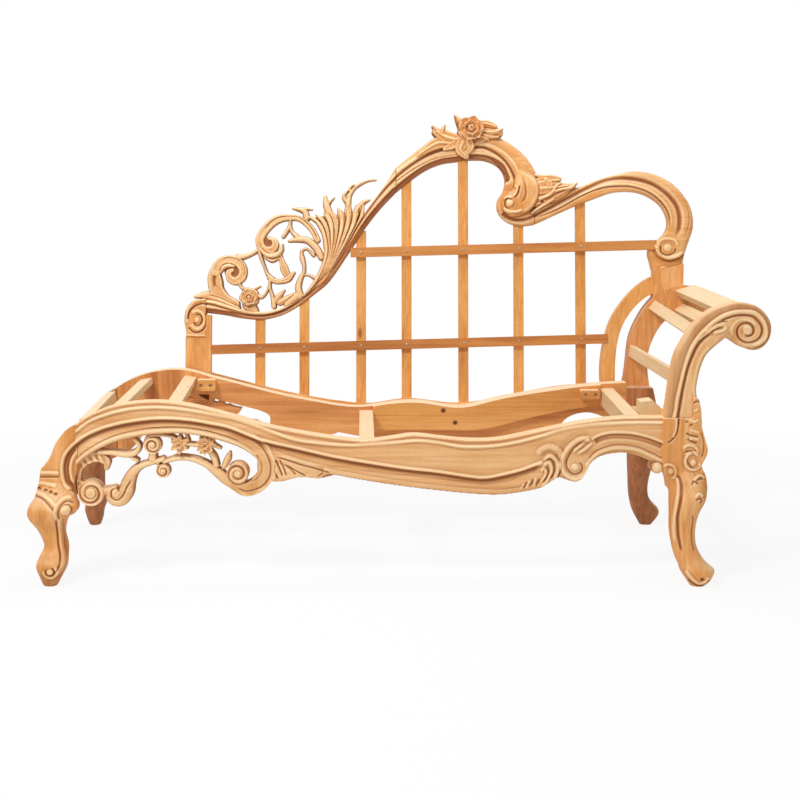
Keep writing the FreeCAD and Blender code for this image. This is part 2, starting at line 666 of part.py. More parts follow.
def make_crest_fretwork():
    """Pierced scroll and leaf work standing on the left part of the crest."""
    front = carving_set
    thick = carving_thick
    lines = [
        # bed along the crest and the left scroll
        ([(-562, 284), (-530, 288), (-490, 276), (-440, 252)], [5, 12, 12, 8]),
        ([(-448, 262), (-478, 277), (-500, 302), (-505, 325), (-507, 345), (-503, 362), (-490, 374)],
         [14, 17, 21, 22, 19, 14, 10]),
        ([(-502, 366), (-486, 380), (-464, 380)], [7, 8, 9]),
        ([(-444, 380), (-442, 402)], [9, 5]),
        ([(-442, 394), (-420, 399), (-400, 406), (-384, 416)], [10, 8, 6, 6]),
        ([(-440, 328), (-432, 312), (-420, 300)], [5, 5, 6]),
        ([(-398, 302), (-378, 313)], [4, 3]),
        ([(-409, 262), (-395, 244)], [20, 14]),
        ([(-384, 284), (-370, 284), (-356, 303), (-349, 326)], [8, 5, 4, 5]),
        # middle scrolls
        ([(-377, 420), (-376, 445), (-368, 467), (-350, 490), (-324, 506), (-295, 509), (-268, 506),
          (-246, 492), (-228, 471), (-215, 445)], [11, 12, 13, 14, 12, 9, 8, 9, 9, 9]),
        ([(-370, 425), (-355, 412), (-335, 405), (-318, 400)], [8, 8, 8, 5]),
        ([(-380, 412), (-374, 392), (-365, 368), (-357, 348), (-342, 334)], [7, 6, 5, 6, 8]),
        ([(-352, 337), (-335, 328), (-315, 328), (-297, 335), (-282, 352)], [7, 8, 8, 9, 5]),
        ([(-300, 342), (-309, 362), (-316, 385), (-325, 402)], [9, 12, 8, 8]),
        ([(-291, 506), (-294, 485), (-303, 468), (-312, 455)], [4, 6, 6, 6]),
        ([(-293, 488), (-288, 470), (-272, 453)], [5, 6, 8]),
        ([(-204, 396), (-220, 424), (-244, 444), (-270, 447), (-296, 442)], [10, 11, 10, 9, 4]),
        ([(-338, 256), (-343, 285), (-350, 310), (-349, 330)], [8, 6, 5, 6]),
        ([(-338, 266), (-325, 284), (-308, 302)], [9, 9, 3]),
        ([(-322, 268), (-300, 280), (-282, 293)], [10, 9, 3]),
        ([(-300, 262), (-270, 288)], [12, 12]),
        ([(-262, 280), (-269, 310), (-263, 335), (-254, 352), (-253, 372), (-258, 392), (-261, 415)],
         [11, 10, 8, 6, 6, 8, 4]),
        ([(-262, 412), (-246, 420), (-226, 402)], [4, 4, 6]),
        ([(-258, 346), (-240, 345), (-222, 336)], [4, 4, 6]),
        # fan of leaves
        ([(-244, 292), (-205, 338), (-197, 385), (-204, 425), (-217, 462), (-238, 496)],
         [10, 16, 20, 21, 18, 12]),
        ([(-215, 330), (-180, 385), (-178, 430), (-188, 470), (-205, 500), (-230, 518)],
         [12, 20, 22, 22, 18, 7]),
        ([(-190, 350), (-160, 410), (-158, 455), (-168, 495), (-190, 520), (-207, 530)],
         [12, 20, 20, 18, 12, 5]),
        ([(-178, 430), (-172, 480), (-180, 515), (-190, 545), (-193, 568)], [14, 14, 12, 10, 5]),
        ([(-186, 540), (-180, 553), (-167, 566)], [6, 5, 2]),
        ([(-150, 430), (-145, 480), (-148, 512), (-156, 534)], [18, 16, 12, 3]),
        ([(-140, 430), (-128, 500), (-128, 550)], [16, 15, 9]),
        ([(-128, 545), (-124, 570), (-112, 590), (-95, 604), (-72, 614), (-48, 617)], [9, 7, 5, 5, 3, 2]),
        ([(-132, 552), (-140, 570), (-127, 588)], [7, 6, 2]),
        ([(-122, 575), (-122, 594), (-111, 603)], [5, 4, 2]),
        ([(-125, 480), (-108, 520), (-95, 545), (-74, 558)], [14, 13, 7, 2]),
        ([(-120, 470), (-92, 520), (-70, 560), (-50, 590)], [14, 14, 9, 3]),
        ([(-245, 508), (-254, 528), (-286, 535)], [10, 9, 2]),
        ([(-256, 534), (-230, 532)], [5, 2]),
    ]
    pieces = straps(lines, front, thick)
    pieces.append(disc(-452, 357, 31, front, thick))
    pieces.append(disc(-343, 440, 31, front, thick))
    pieces.append(flower(-408, 282, 28, front, thick))
    return join(pieces)


def make_crest_flower():
    """Open flower with leaves on the highest part of the crest."""
    front = -flower_proud
    thick = flower_proud + carving_thick
    lines = [
        ([(222, 730), (262, 748), (300, 748)], [26, 24, 12]),
        ([(280, 735), (305, 744), (321, 755)], [16, 13, 3]),
        ([(250, 725), (290, 722)], [16, 12]),
        ([(195, 745), (186, 775), (184, 797)], [22, 13, 3]),
        ([(205, 748), (226, 766), (244, 770)], [24, 18, 12]),
        ([(180, 728), (150, 736), (122, 752)], [16, 20, 12]),
        ([(132, 748), (112, 765)], [10, 3]),
        ([(138, 748), (147, 766)], [10, 3]),
        ([(150, 712), (115, 708), (72, 682)], [16, 16, 5]),
        ([(198, 720), (190, 690), (210, 676)], [24, 22, 12]),
        ([(170, 712), (140, 698)], [20, 12]),
    ]
    bloom = straps(lines, front, thick)
    bloom.append(flower(207, 742, 42, front, thick))
    below_crest_top = box(0, crest_joint_right, 0, back_thick, 560, 744)
    return clear_of(join(bloom), [below_crest_top])


def make_s_scroll():
    """Leaf scroll applied over the foot of the crest."""
    bud_proud = 8
    body = board([[(358, 668), (380, 645), (404, 622), (414, 590), (409, 555), (390, 528), (360, 510),
                   (330, 508), (309, 528), (306, 552), (320, 572), (337, 590), (344, 622), (358, 668)]],
                 -relief, relief)
    bud = disc(328, 549, 19, -relief - bud_proud, relief + bud_proud)
    return join([body, bud])


def make_spray():
    """Leaf spray between the crest and the right arch."""
    lines = [
        ([(405, 604), (432, 610), (468, 614)], [16, 15, 8]),
        ([(402, 560), (440, 572), (480, 590), (519, 602)], [12, 18, 13, 3]),
        ([(418, 590), (450, 592), (494, 598)], [20, 18, 7]),
        ([(405, 545), (440, 556), (478, 578)], [10, 12, 8]),
    ]
    return join(straps(lines, -relief, relief + carving_thick))


def slat_top(x):
    """Distance up the slope at which a slat meets the crest."""
    lower = crest_lower_left + crest_lower_mid[1:6]
    if x > 280:
        lower = crest_lower_mid[12:] + arch_inner[9:][::-1]
    return height_on(lower, x)


def make_back_slat(x):
    """Upright slat, let into the crest and the bottom rail."""
    top = slat_top(x) + end_seat
    foot = height_on(bottom_rail_top, x) - bottom_rail_deep / 2
    slat = box(x - slat_wide / 2, x + slat_wide / 2, slat_set, slat_set + slat_thick, foot, top)
    return eased(slat, at(0, 0, 1))


def make_cross_slat(left, right, low_left, low_right):
    """Level slat nailed to the face of the upright slats."""
    high_left = low_left + cross_slat_wide
    high_right = low_right + cross_slat_wide
    return board([[(left, low_left), (right, low_right)], [(right, low_right), (right, high_right)],
                  [(right, high_right), (left, high_left)], [(left, high_left), (left, low_left)]],
                 slat_set - slat_thick, slat_thick)


def make_cleat(x, z, wide, deep, y):
    """Small block with rounded corners that holds the post to the rail, with its two screws."""
    face = y - cleat_thick
    inward = at(0, 1, 0)
    block = box(x - wide / 2, x + wide / 2, face, y, z - deep / 2, z + deep / 2)
    block = eased(block, inward, cleat_round)
    holes = []
    screws = []
    for side in (-1, 1):
        sx = x + side * wide / 4
        start = at(sx, face + screw_sink, z)
        screws.append(join([Part.makeCylinder(screw_radius, screw_long, start, inward),
                            Part.makeCylinder(screw_head, screw_head_deep, start, inward)]))
        hole_long = screw_sink + screw_long + play
        holes.append(join([Part.makeCylinder(screw_radius + play, hole_long, at(sx, face, z), inward),
                           Part.makeCylinder(screw_head + play, screw_sink + screw_head_deep + play,
                                             at(sx, face, z), inward)]))
    return clear_of(block, holes), screws, holes


def seat_dowels():
    along_x = at(1, 0, 0)
    up = at(0, 0, 1)
    mid = rail_thick / 2
    for z in (330, 372):
        add_dowel(left_joint, mid, z, along_x)
    for z in (320, arm_base - 27):
        add_dowel(right_joint, mid, z, along_x)
        add_dowel(right_joint, rear_face + mid, z, along_x)
    for z in (280, 350):
        add_dowel(rear_left_joint, rear_face + mid, z, along_x)
    for z in (406, 430):
        add_dowel(rear_arch_joint, rear_face + mid, z, along_x)
    volute_x = (volute_left + volute_right) / 2
    add_dowel(volute_x, mid, volute_joint, up)
    add_dowel(volute_x, rear_face + mid, volute_joint + rear_rise, up)
    for x in (672, 706):
        add_dowel(x, mid, arm_base, up)
        add_dowel(x, back_depth(arm_base) + back_thick / 2, arm_base, up)


def back_dowels():
    """Dowels of the back are placed flat and leaned with it."""
    first = len(dowels)
    mid = back_thick / 2
    along_x = at(1, 0, 0)
    up = at(0, 0, 1)
    add_dowel(post_right - tack_strip, mid, 256, along_x)
    add_dowel(crest_joint_left, mid, 617, at(0.64, 0, 0.77).normalize())
    add_dowel(crest_joint_right, mid, 508, at(0.94, 0, 0.34).normalize())
    add_dowel(post_left + 24, mid, post_block_top, up)
    for x in (768, 784):
        add_dowel(x, mid, height_on([arch_inner[0], arch_outer[-1]], x), up)
    for x in (750, 800):
        add_dowel(x, mid, along(height_on(arm_top, x)), up)
    for group in (dowels, dowel_holes):
        for k in range(first, len(group)):
            group[k] = lean(group[k])


def make_nails(uprights, levels):
    """One nail through each crossing of the back slats."""
    nails = []
    inward = at(0, 1, 0)
    face = slat_set - slat_thick
    head_face = face - nail_head_deep / 2
    nail_long = slat_thick * 2 - 3
    for x in uprights:
        for left, right, low_left, low_right in levels:
            if left < x < right:
                s = height_on([(left, low_left), (right, low_right)], x) + cross_slat_wide / 2
                shank = Part.makeCylinder(nail_radius, nail_long, at(x, face, s), inward)
                head = Part.makeCylinder(nail_head, nail_head_deep, at(x, head_face, s), inward)
                nails.append(lean(shank.fuse(head)))
    return nails


def build():
    """Makes every sub-part, fits them to each other and returns them by name."""
    parts = {}
    seat_dowels()
    back_dowels()

    front_rail = make_front_rail()
    front_volute = clear_of(make_volute(0, 0), [front_rail])
    left_leg = clear_of(make_front_left_leg(), [front_rail])
    right_leg = clear_of(make_front_right_leg(), [front_rail])
    fretwork = clear_of(make_front_fretwork(), [front_rail, front_volute, left_leg])

    back = {
        "back_left_post": make_left_post(),
        "crest_left_volute": make_left_volute(),
        "crest_left": make_crest_left(),
        "crest_center": make_crest_center(),
        "crest_right_arch": make_crest_arch(),
        "back_bottom_rail": make_bottom_rail(),
        "back_arm_stile": make_stile(),
        "crest_fretwork": make_crest_fretwork(),
        "crest_flower": make_crest_flower(),
        "crest_s_scroll": make_s_scroll(),
        "crest_spray": make_spray(),
        "back_right_post": make_right_post(),
    }
    slats = []
    for x in slat_positions:
        slats.append(make_back_slat(x))
    boards = [back[name] for name in ("crest_left", "crest_center", "crest_right_arch", "crest_left_volute")]
    back["crest_fretwork"] = clear_of(back["crest_fretwork"], boards + slats)
    back["crest_s_scroll"] = clear_of(back["crest_s_scroll"], boards)
    back["crest_flower"] = clear_of(back["crest_flower"], boards)
    back["crest_spray"] = clear_of(back["crest_spray"], boards + [back["crest_s_scroll"]])

    cross_lower = make_cross_slat(*lower_cross_run)
    cross_upper = make_cross_slat(*upper_cross_run)
    frame_names = ["crest_left", "crest_center", "crest_right_arch", "back_bottom_rail",
                   "back_arm_stile", "back_left_post", "back_right_post"]
    for name in frame_names:
        back[name] = clear_of(back[name], slats + [cross_lower, cross_upper])
    back["back_arm_stile"] = clear_of(back["back_arm_stile"], [back["back_bottom_rail"]])
    for number, slat in enumerate(slats, 1):
        back["back_slat_%d" % number] = slat
    back["back_cross_slat_lower"] = cross_lower
    back["back_cross_slat_upper"] = cross_upper
    for name in back:
        back[name] = lean(back[name])

    slab = make_back_slab()
    arm_front = make_arm_front()
    arm_rear = make_arm_rear(slab)
    arm_slats = []
    for spot in arm_slat_spots:
        arm_slats.append(make_arm_slat(*spot, slab))
    back["back_right_post"] = clear_of(back["back_right_post"], [arm_rear])
    back["back_bottom_rail"] = clear_of(back["back_bottom_rail"], [arm_rear])
    back["back_arm_stile"] = clear_of(back["back_arm_stile"], [back["back_right_post"], arm_rear])

    nails = make_nails(slat_positions, [lower_cross_run, upper_cross_run])
    for name in back:
        if name.startswith(("back_slat", "back_cross")):
            back[name] = clear_of(back[name], nails)

    rear_right_leg = make_rear_right_leg()
    rear_left_leg = make_rear_left_leg()
    lowered = [back["back_left_post"], back["back_bottom_rail"]]
    rear_rail = clear_of(make_rear_rail(), lowered)
    rear_arch = clear_of(make_rear_arch(), lowered)
    rear_right_leg = clear_of(rear_right_leg, lowered + [rear_rail, arm_rear])
    rear_left_leg = clear_of(rear_left_leg, [rear_arch])
    rear_volute = clear_of(make_volute(rear_face, rear_rise), [rear_rail])
    rear_fretwork = clear_of(make_rear_fretwork(), [rear_rail, rear_arch, rear_volute] + lowered)
    liner = make_liner()

    members = {
        "center_cross_rail": make_center_rail(),
        "right_cross_rail": make_right_rail(),
        "side_rail_right": make_side_rail(),
        "end_rail_left": make_end_rail(),
    }
    for number, (x, rear_x) in enumerate(seat_slat_positions, 1):
        members["seat_slat_left_%d" % number] = make_seat_slat(x, rear_x)

    cleat_left, screws_left, holes_left = make_cleat(*left_cleat, rear_face)
    cleat_right, screws_right, holes_right = make_cleat(*right_cleat, rear_face - liner_thick)

    parts["front_rail"] = front_rail
    parts["front_rail_volute"] = front_volute
    parts["front_fretwork"] = fretwork
    parts["front_left_leg"] = left_leg
    parts["front_right_leg"] = right_leg
    parts["rear_rail"] = rear_rail
    parts["rear_rail_volute"] = rear_volute
    parts["rear_rail_liner"] = liner
    parts["rear_left_arch"] = rear_arch
    parts["rear_fretwork"] = rear_fretwork
    parts["rear_left_leg"] = rear_left_leg
    parts["rear_right_leg"] = rear_right_leg
    parts["arm_front_scroll"] = arm_front
    parts["arm_rear_scroll"] = arm_rear
    parts["arm_corner_block"] = make_arm_block()
    parts["post_cleat_left"] = cleat_left
    parts["post_cleat_right"] = cleat_right
    for number, slat in enumerate(arm_slats, 1):
        parts["arm_slat_%d" % number] = slat
    parts.update(members)
    parts.update(back)

    solid_names = ["front_rail", "front_left_leg", "front_right_leg", "rear_rail", "rear_left_arch",
                   "rear_left_leg", "rear_right_leg", "arm_front_scroll", "arm_rear_scroll",
                   "front_rail_volute", "rear_rail_volute"]
    for name in solid_names:
        parts[name] = clear_of(parts[name], pockets)
    dowelled_names = solid_names + ["crest_left", "crest_center", "crest_right_arch", "back_left_post",
                                    "crest_left_volute", "back_right_post"]
    for name in dowelled_names:
        parts[name] = clear_of(parts[name], dowel_holes)
    for name in ("rear_rail", "rear_left_arch", "rear_rail_liner"):
        parts[name] = clear_of(parts[name], holes_left + holes_right)
    parts["right_cross_rail"] = clear_of(parts["right_cross_rail"], [parts["rear_rail_liner"]])

    parts["joint_dowels"] = Part.makeCompound(dowels)
    parts["back_slat_nails"] = Part.makeCompound(nails)
    parts["cleat_screws"] = Part.makeCompound(screws_left + screws_right)
    return parts


def centred(parts):
    """Moves everything so that the origin is under the middle of the whole, on the floor."""
    bounds = Part.makeCompound(list(parts.values())).optimalBoundingBox(False, False)
    shift = at(-(bounds.XMin + bounds.XMax) / 2, -(bounds.YMin + bounds.YMax) / 2, -bounds.ZMin)
    for shape in parts.values():
        shape.translate(shift)
    return parts


os.makedirs("parts", exist_ok=True)
for name, shape in centred(build()).items():
    shape.exportStep("parts/%s.step" % name)
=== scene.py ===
import math

import bpy
import numpy as np
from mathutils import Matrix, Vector
from mathutils.geometry import tessellate_polygon


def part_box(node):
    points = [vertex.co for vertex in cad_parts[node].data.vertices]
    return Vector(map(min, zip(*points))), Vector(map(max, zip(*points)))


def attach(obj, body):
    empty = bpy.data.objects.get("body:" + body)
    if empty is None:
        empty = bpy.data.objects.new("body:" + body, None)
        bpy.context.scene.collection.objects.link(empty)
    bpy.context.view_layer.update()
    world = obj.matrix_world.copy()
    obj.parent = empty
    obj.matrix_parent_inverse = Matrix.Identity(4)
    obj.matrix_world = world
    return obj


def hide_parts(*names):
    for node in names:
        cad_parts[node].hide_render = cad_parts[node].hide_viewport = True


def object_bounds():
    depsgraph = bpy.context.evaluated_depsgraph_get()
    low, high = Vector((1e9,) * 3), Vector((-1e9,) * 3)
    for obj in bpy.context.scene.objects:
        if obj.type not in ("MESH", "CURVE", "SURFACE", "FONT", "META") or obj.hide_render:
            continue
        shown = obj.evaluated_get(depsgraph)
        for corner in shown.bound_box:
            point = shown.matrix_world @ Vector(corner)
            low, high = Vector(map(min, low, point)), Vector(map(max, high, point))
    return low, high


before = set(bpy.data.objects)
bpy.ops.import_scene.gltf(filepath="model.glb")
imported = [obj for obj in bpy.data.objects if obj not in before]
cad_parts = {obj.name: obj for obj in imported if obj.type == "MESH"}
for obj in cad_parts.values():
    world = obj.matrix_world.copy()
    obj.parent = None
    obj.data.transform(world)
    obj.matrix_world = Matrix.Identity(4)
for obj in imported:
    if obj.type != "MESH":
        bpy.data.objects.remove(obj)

bl_info = {
    "name": "Carved chaise longue frame",
    "version": (1, 0, 0),
    "blender": (4, 5, 0),
    "location": "View3D > Sidebar > Chaise",
    "description": "Carves the bare wood frame of a chaise longue around its packed model",
    "category": "Add Mesh",
}

cad_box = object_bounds()

# Main sizes of the frame in millimetres, the same as the model's
rail_thick = 45
rear_face = 490
rear_back = rear_face + rail_thick
lean_base = 380
lean = math.atan(0.12)
back_thick = 40
carving_set = 7
carving_back = carving_set + 30
BODY = "root"
FAR = 99

# The drawing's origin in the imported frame, found from two of its nodes
cross_lo, cross_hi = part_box("center_cross_rail")
liner_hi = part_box("rear_rail_liner")[1]
center_rail_x = -77
shift_x = (cross_lo.x + cross_hi.x) / 2 - center_rail_x / 1000
shift_y = liner_hi.y - rear_face / 1000


def to_world(plane, x, depth, s):
    """Drawing millimetres to metres. The back's plane leans, the others stand upright."""
    x = np.asarray(x, float)
    if plane == "back":
        y = rear_back + depth * math.cos(lean) + s * math.sin(lean)
        z = lean_base - depth * math.sin(lean) + s * math.cos(lean)
    else:
        y, z = depth + 0 * x, s + 0 * x
    return np.stack([x / 1000 + shift_x, y / 1000 + shift_y, z / 1000], axis=-1)


# Lines and fields on a drawing sheet

def smooth(points, parts=6):
    """Smooth curve through points of any number of columns."""
    p = np.array(points, float)
    if len(p) == 2:
        return p
    q = np.concatenate([2 * p[:1] - p[1:2], p, 2 * p[-1:] - p[-2:-1]])
    rows = []
    for k in range(1, len(q) - 2):
        a, b, c, d = q[k - 1:k + 3]
        for t in np.arange(parts) / parts:
            rows.append(0.5 * (2 * b + (c - a) * t + (2 * a - 5 * b + 4 * c - d) * t * t
                               + (3 * b - a - 3 * c + d) * t ** 3))
    return np.array(rows + [p[-1]])


def joined(runs):
    """One closed line from smooth runs that meet at corners."""
    return np.concatenate([smooth(run)[:-1] for run in runs])


def loop_of(first, second):
    """Runs of an outline made of two curves and straight ends between them."""
    return [first, [first[-1], second[0]], second, [second[-1], first[0]]]


def fade(value, low, high):
    """Rises smoothly from 0 at low to 1 at high."""
    t = np.clip((value - low) / (high - low), 0, 1)
    return t * t * (3 - 2 * t)


def end_fade(along, ends):
    """Fades a stroke out over a share of its length at both ends."""
    return fade(np.minimum(along, 1 - along), -1e-3, ends)


class Sheet:
    """Fine grid over one carved piece. Every field on it is in millimetres."""

    def __init__(self, left, right, low, high, step):
        self.area = left, right, low, high, step
        self.step = step
        self.xs = np.arange(left, right + step, step)
        self.zs = np.arange(low, high + step, step)
        self.x, self.z = np.meshgrid(self.xs, self.zs)
        self.inside = np.full(self.x.shape, -float(FAR))
        self.height = np.zeros(self.x.shape)
        # Painted shade, added to how deep each place lies when the wood is coloured
        self.painted_shade = np.zeros(self.x.shape)
        self.edges = []

    def window(self, xa, xb, za, zb):
        """Rows and columns of the part of the grid between these places."""
        c0, c1 = np.searchsorted(self.xs, (xa, xb))
        r0, r1 = np.searchsorted(self.zs, (za, zb))
        return slice(r0, r1), slice(c0, c1)

    def segments(self, line, reaches):
        """Yields each segment's number, its window, and the place along it, distance and side there."""
        for k, ((x0, z0), (x1, z1), reach) in enumerate(zip(line, line[1:], reaches)):
            w = self.window(min(x0, x1) - reach, max(x0, x1) + reach, min(z0, z1) - reach, max(z0, z1) + reach)
            dx, dz = x1 - x0, z1 - z0
            px, pz = self.x[w] - x0, self.z[w] - z0
            t = np.clip((px * dx + pz * dz) / (dx * dx + dz * dz + 1e-9), 0, 1)
            yield k, w, t, np.hypot(px - t * dx, pz - t * dz), np.sign(dx * pz - dz * px)

    def strap(self, spine, halves):
        """Margin inside a tapering strap, and place across it (-1 to 1)."""
        line = smooth([(x, z, half) for (x, z), half in zip(spine, halves)])
        width = line[:, 2]
        margin = np.full(self.x.shape, -float(FAR))
        across = np.zeros(self.x.shape)
        for k, w, t, far, side in self.segments(line[:, :2], np.maximum(width[:-1], width[1:]) + 4):
            half = width[k] + (width[k + 1] - width[k]) * t
            here = half - far
            better = here > margin[w]
            margin[w] = np.where(better, here, margin[w])
            across[w] = np.where(better, side * far / np.maximum(half, 0.1), across[w])
        return margin, across

    def from_line(self, points, reach):
        """Distance from a line, positive side on its left, and place along it (0 to 1)."""
        line = points if isinstance(points, np.ndarray) else smooth(points)
        best = np.full(self.x.shape, float(reach))
        side = np.ones(self.x.shape)
        along = np.zeros(self.x.shape)
        count = len(line) - 1
        for k, w, t, far, turn in self.segments(line, [reach] * count):
            better = far < best[w]
            best[w] = np.where(better, far, best[w])
            side[w] = np.where(better, turn, side[w])
            along[w] = np.where(better, (k + t) / count, along[w])
        return best, side, along

    def outline(self, runs):
        """Sets the piece's outline from runs that meet at corners."""
        loop = joined(runs)
        flips = np.zeros((len(self.zs), len(self.xs) + 1), int)
        for (x0, z0), (x1, z1) in zip(loop, np.roll(loop, -1, axis=0)):
            rows = np.nonzero((self.zs >= min(z0, z1)) & (self.zs < max(z0, z1)))[0]
            if len(rows):
                cross = x0 + (self.zs[rows] - z0) * (x1 - x0) / (z1 - z0)
                np.add.at(flips, (rows, np.searchsorted(self.xs, cross)), 1)
        full = np.cumsum(flips[:, :-1], axis=1) % 2 == 1
        far = self.from_line(np.concatenate([loop, loop[:1]]), 30)[0]
        self.inside = np.maximum(self.inside, np.where(full, far, -far))

    def inside_of(self, *outlines):
        """Margin inside other outlines, on the same grid."""
        other = Sheet(*self.area)
        for runs in outlines:
            other.outline(runs)
        return other.inside

    def add(self, margin):
        """Adds what has a positive margin to the outline."""
        self.inside = np.maximum(self.inside, margin)

    def cut(self, margin):
        """Cuts what has a positive margin off the outline."""
        self.inside = np.minimum(self.inside, -margin)

    def raise_to(self, margin, height, soft=0.6):
        """Lays a carved form on top of what is there."""
        self.height = np.where(margin > -soft, np.maximum(self.height, height), self.height)

    def ridge(self, points, half, rise, ends=0.06, sharp=1.0):
        """Raised line of one half width, fading out over a share of its length at both ends."""
        far, _, along = self.from_line(points, half + 1)
        form = np.clip(1 - (far / half) ** 2, 0, 1) ** sharp
        self.height = self.height + rise * form * end_fade(along, ends)

    def groove(self, points, half, deep, ends=0.06):
        """Cut line, narrower at its bottom than a ridge is at its top."""
        self.ridge(points, half, -deep, ends, 1.4)

    def slope(self, points, wide, deep, ends=0.02):
        """Cove on the right of a line, deepest at the line and rising away from it."""
        far, side, along = self.from_line(points, wide + 2)
        below = -far * side
        form = np.clip(1 - below / wide, 0, 1) ** 1.4 * fade(below, 0, 5)
        form = form * end_fade(along, ends)
        self.height = self.height - deep * form
        # Painted shade in the cove
        self.painted_shade = self.painted_shade + 0.3 * form

    def band(self, points, low, high, shift, soft=2.5, ends=0.0):
        """Moves a strip beside a line up or down. Left of the line is positive."""
        reach = max(abs(low), abs(high)) + soft + 2
        far, side, along = self.from_line(points, reach)
        d = far * side
        form = fade(d, low - soft / 2, low + soft / 2) * (1 - fade(d, high - soft / 2, high + soft / 2))
        if ends:
            form = form * end_fade(along, ends)
        self.height = self.height + shift * np.where(far < reach, form, 0)

    def round_edge(self, runs, radius, deep):
        """Rounds the face towards these free edges. It is worked out at every vertex."""
        far = np.full(self.x.shape, float(FAR))
        for run in runs:
            far = np.minimum(far, self.from_line(run, radius + 3)[0])
        self.edges.append((np.where(self.inside > 0, far, -far), radius, deep))

    def ease(self, radius, deep):
        """Rounds the face towards the whole outline, as it is now."""
        self.edges.append((self.inside.copy(), radius, deep))

    def drop(self, x, z):
        """How far the rounded edges lower the face at these places."""
        total = np.zeros(len(x))
        for margin, radius, deep in self.edges:
            t = np.clip(self.sample(margin, x, z) / radius, 0, 1)
            total += deep * (1 - t) ** 2
        return total

    def disc(self, x, z, radius):
        """Margin inside a round spot."""
        return radius - np.hypot(self.x - x, self.z - z)

    def ball(self, x, z, radius, rise):
        """Round boss on top of what is there."""
        far = np.hypot(self.x - x, self.z - z)
        dome = np.sqrt(np.clip(1 - (far / radius) ** 2, 0, 1))
        self.height = np.where(far < radius, np.maximum(self.height, self.height + rise * dome), self.height)

    def dent(self, x, z, half_x, half_z, deep):
        """Rounded hollow in what is there."""
        far = np.hypot((self.x - x) / half_x, (self.z - z) / half_z)
        self.height -= deep * np.clip(1 - far ** 2, 0, 1)

    def scroll(self, x, z, radius, eye, pitch, start, hand, rise, deep):
        """Volute: a raised coil round a round eye, in place of what is there."""
        dx, dz = self.x - x, self.z - z
        far = np.hypot(dx, dz)
        turn = (np.arctan2(dz, dx) * hand + start) / (2 * math.pi)
        phase = (far - eye) / pitch - turn
        coil = 0.5 - 0.5 * np.cos(2 * math.pi * phase)
        form = rise - deep * (1 - coil) * fade(far, eye * 0.9, eye * 1.4)
        dome = rise + 1.5 * np.sqrt(np.clip(1 - (far / eye) ** 2, 0, 1))
        dome = dome - deep * 0.7 * fade(far, eye * 0.7, eye * 1.05)
        form = np.where(far < eye * 1.05, dome, form)
        self.height = np.where(far < radius, form, self.height)

    def blur(self, field, size, mask=None):
        """Softens a field over a size in millimetres, within the mask if there is one."""
        width = max(1, int(round(size / self.step * 2)))
        taps = np.exp(-0.5 * (np.arange(-width, width + 1) * self.step / size) ** 2)
        weight = np.ones(field.shape) if mask is None else mask.astype(float)
        out, norm = field * weight, weight
        for axis in (0, 1):
            out = np.apply_along_axis(np.convolve, axis, out, taps, "same")
            norm = np.apply_along_axis(np.convolve, axis, norm, taps, "same")
        return out / np.maximum(norm, 1e-6)

    def sample(self, field, x, z):
        """Value of a field at places between the grid's."""
        c = np.clip((x - self.xs[0]) / self.step, 0, len(self.xs) - 1.001)
        r = np.clip((z - self.zs[0]) / self.step, 0, len(self.zs) - 1.001)
        c0, r0 = c.astype(int), r.astype(int)
        u, v = c - c0, r - r0
        return (field[r0, c0] * (1 - u) * (1 - v) + field[r0, c0 + 1] * u * (1 - v)
                + field[r0 + 1, c0] * (1 - u) * v + field[r0 + 1, c0 + 1] * u * v)

    def hollows(self):
        """How deep a place lies below its surroundings, -1 to 1, close by and farther off, plus the painted
        shade: the wood's colour paints shade in hollows and highlight on ridges from it.
        """
        mask = self.inside > -1
        total = self.painted_shade
        for reach, full_depth in ((3, 1.8), (10, 4.5)):
            total = total + 0.6 * (self.blur(self.height, reach, mask) - self.height) / full_depth
        return np.clip(total, -1, 1)


